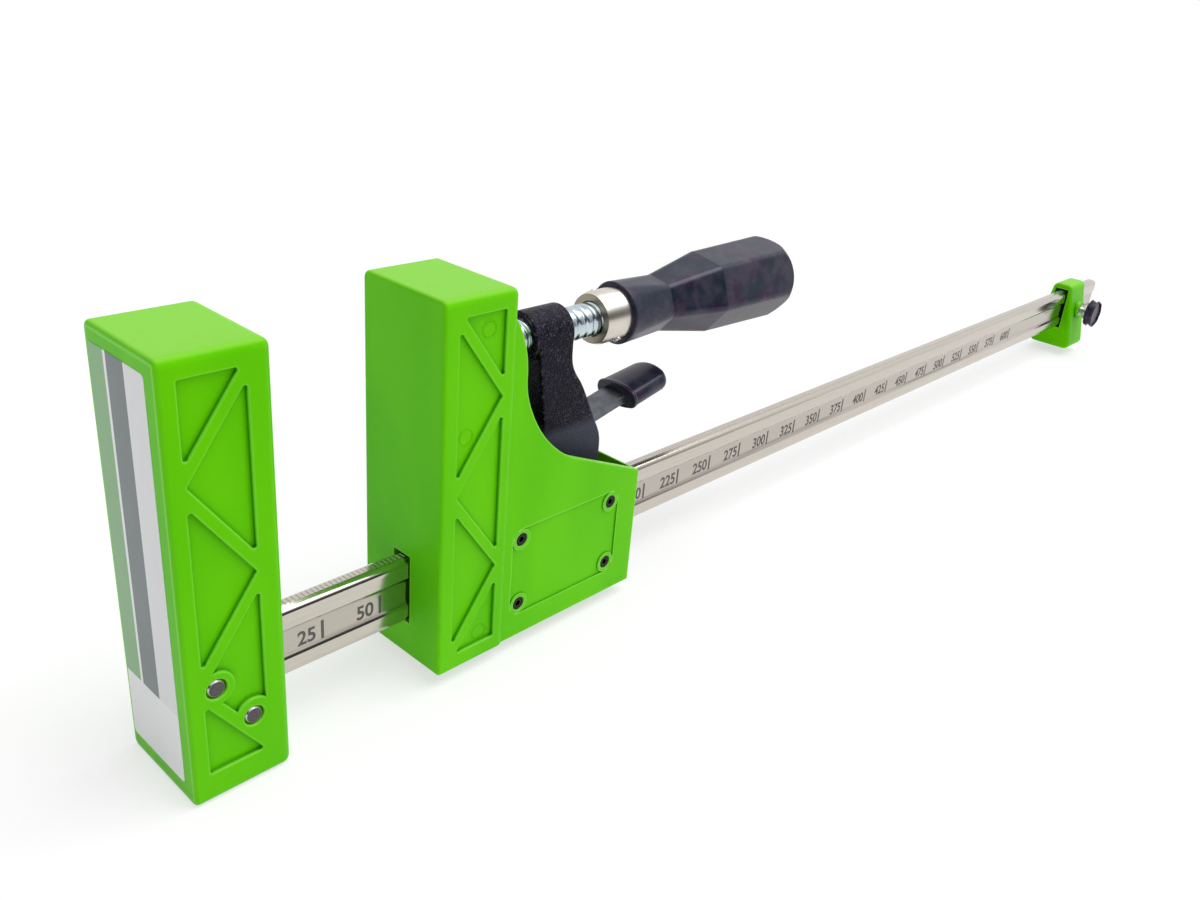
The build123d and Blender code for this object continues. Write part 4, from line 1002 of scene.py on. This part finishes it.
class CLAMP_OT_trigger_cap(bpy.types.Operator):
    """Mould the cap of the trigger with its rounded end and raised lip"""

    bl_idname = "clamp.trigger_cap"
    bl_label = "Trigger cap"

    def execute(self, context):
        c = context.scene.clamp_cap
        seat = Matrix.Translation((c.front, 0, FOOT + c.height)) @ Matrix.Rotation(-c.lean, 4, "Y")
        lip = [0, c.lip * 0.3, c.lip, c.lip * 1.3]
        straight = [c.lip * 2, c.reach * 0.3, c.reach * 0.5]
        rear = [c.reach - c.plan_radius * (1 - math.sin(bend)) for bend in quarter(10)]
        rings = [[seat @ Vector(point) for point in self.ring(c, place)] for place in lip + straight + rear]
        finish = black_plastic_finish()
        add_piece("trigger_cap_shell", ringed_mesh(rings), "trigger", finish, "trigger_cap")
        return {"FINISHED"}

    def ring(self, c, place):
        """The cap's outline at a distance from its front."""
        drop = max(0, place - (c.reach - c.plan_radius))
        wide = c.front_half + (c.rear_half - c.front_half) * place / c.reach
        wide -= c.plan_radius - math.sqrt(c.plan_radius ** 2 - drop ** 2)
        fall = max(0, place - (c.reach - c.end_radius))
        thick = 1 - (1 - math.sqrt(1 - (fall / c.end_radius) ** 2)) * c.end_thinning
        slim = 1 - c.lip_rise if place > c.lip * 1.2 else 1
        slim *= c.lip_edge if place == 0 else 1
        upper = []
        for k in range(CAP_STEPS + 1):
            across = wide * math.sin(math.pi * (k / CAP_STEPS - 0.5))
            over = max(0, abs(across) - (wide - c.side_round)) / c.side_round
            level = c.side + (c.crown - c.side) * (1 - (across / wide) ** 2)
            upper.append((across * slim, level * math.sqrt(max(0, 1 - over ** 2)) * thick * slim))
        lower = [(across, -up) for across, up in reversed(upper[1:-1])]
        return [(place, across, up) for across, up in upper + lower]


class CLAMP_OT_thumb_knob(bpy.types.Operator):
    """Mould the thumb screw's shallowly fluted knob on its metal hub"""

    bl_idname = "clamp.thumb_knob"
    bl_label = "Thumb knob"

    def execute(self, context):
        c = context.scene.clamp_cap
        low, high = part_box("thumb_knob")
        x, z = (low.x + high.x) / 2, (low.z + high.z) / 2
        # In this order of rings the rims stand out as discs, and the wall between them lies knob_round deeper
        edge = [(1 - math.sin(bend), 1 - math.cos(bend)) for bend in quarter(4)]
        profile = [(high.y - c.hub_length - c.knob_round * run, c.knob_round * fall) for run, fall in edge]
        profile += [(low.y + c.knob_round * run, c.knob_round * fall) for run, fall in reversed(edge)]
        radius = (high.z - low.z) / 2
        grip = ringed_mesh([self.ring(c, (x, y, z), radius - fall) for y, fall in profile])
        finish = black_plastic_finish()
        add_piece("thumb_knob_grip", grip, "thumb_screw_assembly", finish, "thumb_knob")
        sunk = c.hub_length + MM
        hub = turned_mesh([(0, 0), (0, c.hub_radius), (sunk, c.hub_radius), (sunk, 0)])
        hub.transform(Matrix.Translation((x, high.y, z)) @ Matrix.Rotation(-math.pi / 2, 4, "Z"))
        add_piece("thumb_hub", hub, "thumb_screw_assembly", nickel_finish(0.0), "thumb_knob")
        return {"FINISHED"}

    def ring(self, c, centre, radius):
        """The knob's outline, pulled in between its lobes."""
        x, y, z = centre
        points = []
        for spin in circle(ROUND_SIDES):
            reach = radius - c.knob_flute * (0.5 - 0.5 * math.cos(c.knob_lobes * spin))
            points.append((x + reach * math.cos(spin), y, z + reach * math.sin(spin)))
        return points


class CLAMP_OT_spindle(bpy.types.Operator):
    """Cut the spindle's thread and turn its head and neck"""

    bl_idname = "clamp.spindle"
    bl_label = "Spindle"

    def execute(self, context):
        c, t = colours(), context.scene.clamp_threads
        low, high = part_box("spindle")
        axis = Matrix.Translation((0, (low.y + high.y) / 2, (low.z + high.z) / 2))
        radius = (high.z - low.z) / 2
        finish = turned_finish("spindle_zinc", c.zinc, c.zinc_shade, 0.5 * MM, 0.16)
        ends = (t.spindle_start, high.x)
        thread = thread_mesh(finish, ends, radius, t.spindle_depth, t.spindle_pitch, steps=14, sides=40)
        head = turned_mesh([
            (low.x, 0),
            (low.x, radius - t.head_edge),
            (low.x + t.head_edge, radius),
            (t.head_end - t.head_edge, radius),
            (t.head_end, radius - t.head_edge),
            (t.head_end, t.neck_radius),
            (t.spindle_start + MM, t.neck_radius),
            (t.spindle_start + MM, 0),
        ])
        for name, mesh in (("spindle_thread", thread), ("spindle_head", head)):
            mesh.transform(axis)
            tidy(mesh)
            add_piece(name, mesh, "spindle_assembly", finish, "spindle")
        return {"FINISHED"}


class CLAMP_OT_thumb_screw(bpy.types.Operator):
    """Cut the thumb screw's thread"""

    bl_idname = "clamp.thumb_screw"
    bl_label = "Thumb screw"

    def execute(self, context):
        c, t = colours(), context.scene.clamp_threads
        low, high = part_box("thumb_screw")
        half = (high.y - low.y) / 2
        radius = (high.x - low.x) / 2
        centre = (low + high) / 2
        finish = turned_finish("thumb_zinc", c.zinc, c.zinc_shade, 0.4 * MM, 0.2, 1, centre)
        mesh = thread_mesh(finish, (-half, half), radius, t.thumb_depth, t.thumb_pitch, steps=12, sides=24)
        mesh.transform(Matrix.Translation(centre) @ Matrix.Rotation(math.pi / 2, 4, "Z"))
        tidy(mesh)
        add_piece("thumb_screw_thread", mesh, "thumb_screw_assembly", finish, "thumb_screw")
        return {"FINISHED"}


class CLAMP_OT_rail_notches(bpy.types.Operator):
    """Lay the row of notches along the rail's crown"""

    bl_idname = "clamp.rail_notches"
    bl_label = "Rail notches"

    def execute(self, context):
        s = context.scene.clamp_scale
        _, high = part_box("rail")
        finish = rail_finish()
        sunk = 0.2 * s.notch_depth
        mesh = grown_mesh(notch_graph(), {
            "Start": (s.notch_start, 0.0, high.z + (s.notch_depth - sunk) / 2),
            "Count": int((high.x - s.notch_start - s.notch_pitch) / s.notch_pitch),
            "Pitch": s.notch_pitch,
            "Land": (s.notch_pitch - s.notch_gap, s.notch_reach, s.notch_depth + sunk),
            "Slope": s.notch_slope,
            "Material": finish.material,
        })
        tidy(mesh)
        add_piece("rail_notches", mesh, "frame", finish)
        return {"FINISHED"}


def text_mesh(body, weight):
    """Plain digits as a mesh 1 thick, with their lower left corner at the origin, and its size."""
    curve = bpy.data.curves.new("digits", "FONT")
    curve.body = body
    curve.extrude = 0.5
    curve.resolution_u = 6
    curve.offset = weight
    mesh = plain_mesh(link("digits", curve))
    corner, far = (Vector([pick(v.co[i] for v in mesh.vertices) for i in range(3)]) for pick in (min, max))
    mesh.transform(Matrix.Translation(-corner))
    return mesh, far - corner


class CLAMP_OT_rail_scale(bpy.types.Operator):
    """Print the scale's lines and numbers in the rail's groove"""

    bl_idname = "clamp.rail_scale"
    bl_label = "Rail scale"

    def execute(self, context):
        s = context.scene.clamp_scale
        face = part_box("rail")[0].y + s.groove_depth
        upright = Matrix.Rotation(math.pi / 2, 4, "X")
        block = Matrix.Diagonal((s.line_width, s.ink_lift, s.line_high - s.line_low, 1.0))
        sizes = {2: (s.pair_width, s.pair_gap), 3: (s.trio_width, s.trio_gap)}
        widest = {digits: text_mesh("0" * digits, s.digit_weight)[1] for digits in sizes}
        shape = bmesh.new()
        for i in range(s.marks):
            mark = s.first + i * s.step
            body = str(round(mark / MM))
            width, gap = sizes[len(body)]
            mesh, size = text_mesh(body, s.digit_weight)
            wide = width / widest[len(body)].x
            tall = (s.digit_high - s.digit_low) / widest[len(body)].y
            mesh.transform(Matrix.Diagonal((wide, tall, s.ink_lift, 1.0)))
            left = mark - gap - size.x * wide
            mesh.transform(Matrix.Translation((left, face, FOOT + s.digit_low)) @ upright)
            shape.from_mesh(mesh)
            bpy.data.meshes.remove(mesh)
            line = Matrix.Translation((mark, face - s.ink_lift / 2, FOOT + (s.line_low + s.line_high) / 2))
            bmesh.ops.create_cube(shape, size=1.0, matrix=line @ block)
        mesh = mesh_of(shape)
        tidy(mesh)
        add_piece("rail_scale", mesh, "frame", plain_finish("scale_ink", colours().ink, 0.5))
        return {"FINISHED"}


class CLAMP_OT_label(bpy.types.Operator):
    """Stick the plain striped label on the back of the fixed jaw"""

    bl_idname = "clamp.label"
    bl_label = "Label"

    def execute(self, context):
        s = context.scene.clamp_label
        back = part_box("fixed_jaw_cover")[0].x + 0.01 * MM
        middle = Vector(((s.near + s.far) / 2, FOOT + (s.low + s.high) / 2))
        half = Vector(((s.far - s.near) / 2 - s.corner, (s.high - s.low) / 2 - s.corner))
        shape = bmesh.new()
        outline = []
        for turned, (side, rise) in enumerate(((1, 1), (-1, 1), (-1, -1), (1, -1))):
            for bend in quarter(8):
                turn = math.pi / 2 * turned + bend
                y = middle.x + side * half.x + s.corner * math.cos(turn)
                z = middle.y + rise * half.y + s.corner * math.sin(turn)
                outline.append(shape.verts.new((back, y, z)))
        sheet = shape.faces.new(outline)
        top = bmesh.ops.extrude_face_region(shape, geom=[sheet])["geom"]
        risen = [v for v in top if isinstance(v, bmesh.types.BMVert)]
        bmesh.ops.translate(shape, verts=risen, vec=(-s.thickness, 0, 0))
        bmesh.ops.recalc_face_normals(shape, faces=shape.faces)
        add_piece("label", mesh_of(shape), "frame", self.film(s))
        return {"FINISHED"}

    def film(self, s):
        """Printed film: two stripes over a plain ground, under a light gloss."""
        c = colours()
        made = Finish("label_film", Specular_IOR_Level=0.35)
        _, y, z = made.split(made.place)
        wave = made.noise(20 * MM, 1.0)
        above = z > FOOT + s.stripe_foot
        sage = above * (y > s.sage_edge)
        slate = above * (y < s.slate_start) * (y > s.slate_end)
        gap = above * (y > s.slate_start) * (y < s.sage_edge)
        ground = made.mix(above, c.label_foot, c.label)
        parted = made.mix(gap, ground, c.label_foot)
        striped = made.mix(slate, made.mix(sage, parted, c.label_sage), c.label_slate)
        made.feed("Base Color", made.mix(0.06 * made.noise(0.7 * MM, 3.0), striped, c.label_foot))
        made.feed("Roughness", 0.28 + 0.1 * wave)
        made.feed("Normal", made.bump(wave, 0.06 * MM))
        return made


class CLAMP_OT_studio(bpy.types.Operator):
    """Set up the white floor, the soft light and the camera"""

    bl_idname = "clamp.studio"
    bl_label = "Studio"

    def execute(self, context):
        s = context.scene.clamp_studio
        context.scene.view_settings.view_transform = "Standard"
        self.floor(s)
        self.sky(context.scene, s)
        self.lamp(s)
        self.camera(context.scene, s)
        return {"FINISHED"}

    def backdrop_rays(self, graph):
        """1 for rays that show the plain white backdrop: the camera's, mirrored and refracted ones."""
        seen, mirrored, refracted = (
            graph.node("ShaderNodeLightPath", output=f"Is {kind} Ray")
            for kind in ("Camera", "Glossy", "Transmission")
        )
        return seen.maths("MAXIMUM", mirrored.maths("MAXIMUM", refracted))

    def floor(self, s):
        shape = bmesh.new()
        bmesh.ops.create_grid(shape, x_segments=8, y_segments=8, size=s.floor_size / 2)
        bmesh.ops.translate(shape, verts=shape.verts, vec=(0, 0, FOOT))
        floor = link("floor", mesh_of(shape))
        paper = Finish("floor_paper", Base_Color=(*s.floor, 1.0), Roughness=1.0, Specular_IOR_Level=0.0)
        glow = paper.node("ShaderNodeEmission", values={"Color": WHITE, "Strength": 1.0})
        share = self.backdrop_rays(paper) * s.floor_glow
        surface = Wire(paper, paper.surface.outputs[0])
        both = paper.node("ShaderNodeMixShader", values={0: share, 1: surface, 2: glow})
        paper.tree.links.new(both.socket, paper.tree.nodes["Material Output"].inputs["Surface"])
        paint([floor], paper)

    def sky(self, scene, s):
        """White all round to light the clamp, but a dim room behind the camera for what mirrors it."""
        world = bpy.data.worlds.new("studio")
        world.use_nodes = True
        world.node_tree.nodes.clear()
        graph = Graph(world.node_tree)
        light, white, room = (
            graph.node("ShaderNodeBackground", values={"Color": WHITE, "Strength": strength})
            for strength in (s.sky, 1.0, s.room)
        )
        towards = graph.node("ShaderNodeTexCoord", output="Generated")
        ahead = graph.dot(towards, (-math.sin(s.camera_turn), math.cos(s.camera_turn), 0))
        height = graph.split(towards)[2]
        lit = graph.smooth(ahead, -0.1, 0.35).maths("MAXIMUM", graph.smooth(height, 0.42, 0.62))
        mirrored = graph.node("ShaderNodeLightPath", output="Is Glossy Ray")
        mirror = graph.node("ShaderNodeMixShader", values={0: lit, 1: room, 2: white})
        plain = graph.node("ShaderNodeMixShader", values={0: mirrored, 1: white, 2: mirror})
        both = graph.node("ShaderNodeMixShader", values={0: self.backdrop_rays(graph), 1: light, 2: plain})
        end = graph.tree.nodes.new("ShaderNodeOutputWorld")
        graph.tree.links.new(both.socket, end.inputs["Surface"])
        scene.world = world

    def lamp(self, s):
        sun = bpy.data.lights.new("soft_lamp", "SUN")
        sun.energy = s.lamp
        sun.angle = s.lamp_spread
        link("soft_lamp", sun).rotation_euler = (s.lamp_near, s.lamp_along, 0)

    def camera(self, scene, s):
        holder = link("camera", bpy.data.cameras.new("camera"))
        holder.data.sensor_fit = "HORIZONTAL"
        holder.data.sensor_width = SENSOR
        holder.data.lens = s.lens
        holder.data.clip_start = 10 * MM
        a, e, r = s.camera_turn, s.camera_tilt, s.camera_roll
        back = Vector((math.sin(a) * math.cos(e), -math.cos(a) * math.cos(e), math.sin(e)))
        right = Vector((0, 0, 1)).cross(back).normalized()
        up = back.cross(right)
        across = math.cos(r) * right + math.sin(r) * up
        upward = math.cos(r) * up - math.sin(r) * right
        facing = Matrix((across, upward, back)).transposed().to_4x4()
        holder.matrix_world = Matrix.Translation(s.camera_place) @ facing
        scene.camera = holder


GROUPS = {
    "clamp_colours": ClampColours,
    "clamp_scale": ClampScale,
    "clamp_rail": ClampRail,
    "clamp_cap": ClampCap,
    "clamp_threads": ClampThreads,
    "clamp_label": ClampLabel,
    "clamp_studio": ClampStudio,
}

OPERATORS = (
    CLAMP_OT_green_mouldings,
    CLAMP_OT_castings,
    CLAMP_OT_steel_parts,
    CLAMP_OT_black_plastics,
    CLAMP_OT_hidden_parts,
    CLAMP_OT_rail_bar,
    CLAMP_OT_spindle,
    CLAMP_OT_trigger_leaf,
    CLAMP_OT_ferrule,
    CLAMP_OT_trigger_cap,
    CLAMP_OT_thumb_screw,
    CLAMP_OT_thumb_knob,
    CLAMP_OT_rail_notches,
    CLAMP_OT_rail_scale,
    CLAMP_OT_label,
    CLAMP_OT_studio,
)


class CLAMP_PT_sidebar(bpy.types.Panel):
    """Lists the clamp's pieces and their sizes"""

    bl_label = "Panel clamp"
    bl_idname = "CLAMP_PT_sidebar"
    bl_space_type = "VIEW_3D"
    bl_region_type = "UI"
    bl_category = "Clamp"

    def draw(self, context):
        for operator in OPERATORS:
            self.layout.operator(operator.bl_idname)
        for group in GROUPS:
            box = self.layout.box()
            values = getattr(context.scene, group)
            for key in values.bl_rna.properties.keys():
                if key not in ("rna_type", "name"):
                    box.prop(values, key)


def register():
    for kind in (*GROUPS.values(), *OPERATORS, CLAMP_PT_sidebar):
        bpy.utils.register_class(kind)
    for key, kind in GROUPS.items():
        setattr(bpy.types.Scene, key, bpy.props.PointerProperty(type=kind))


def unregister():
    for key in GROUPS:
        delattr(bpy.types.Scene, key)
    for kind in (CLAMP_PT_sidebar, *reversed(OPERATORS), *GROUPS.values()):
        bpy.utils.unregister_class(kind)


def main():
    register()
    for operator in OPERATORS:
        group, name = operator.bl_idname.split(".")
        getattr(getattr(bpy.ops, group), name)()


if __name__ == "__main__":
    main()
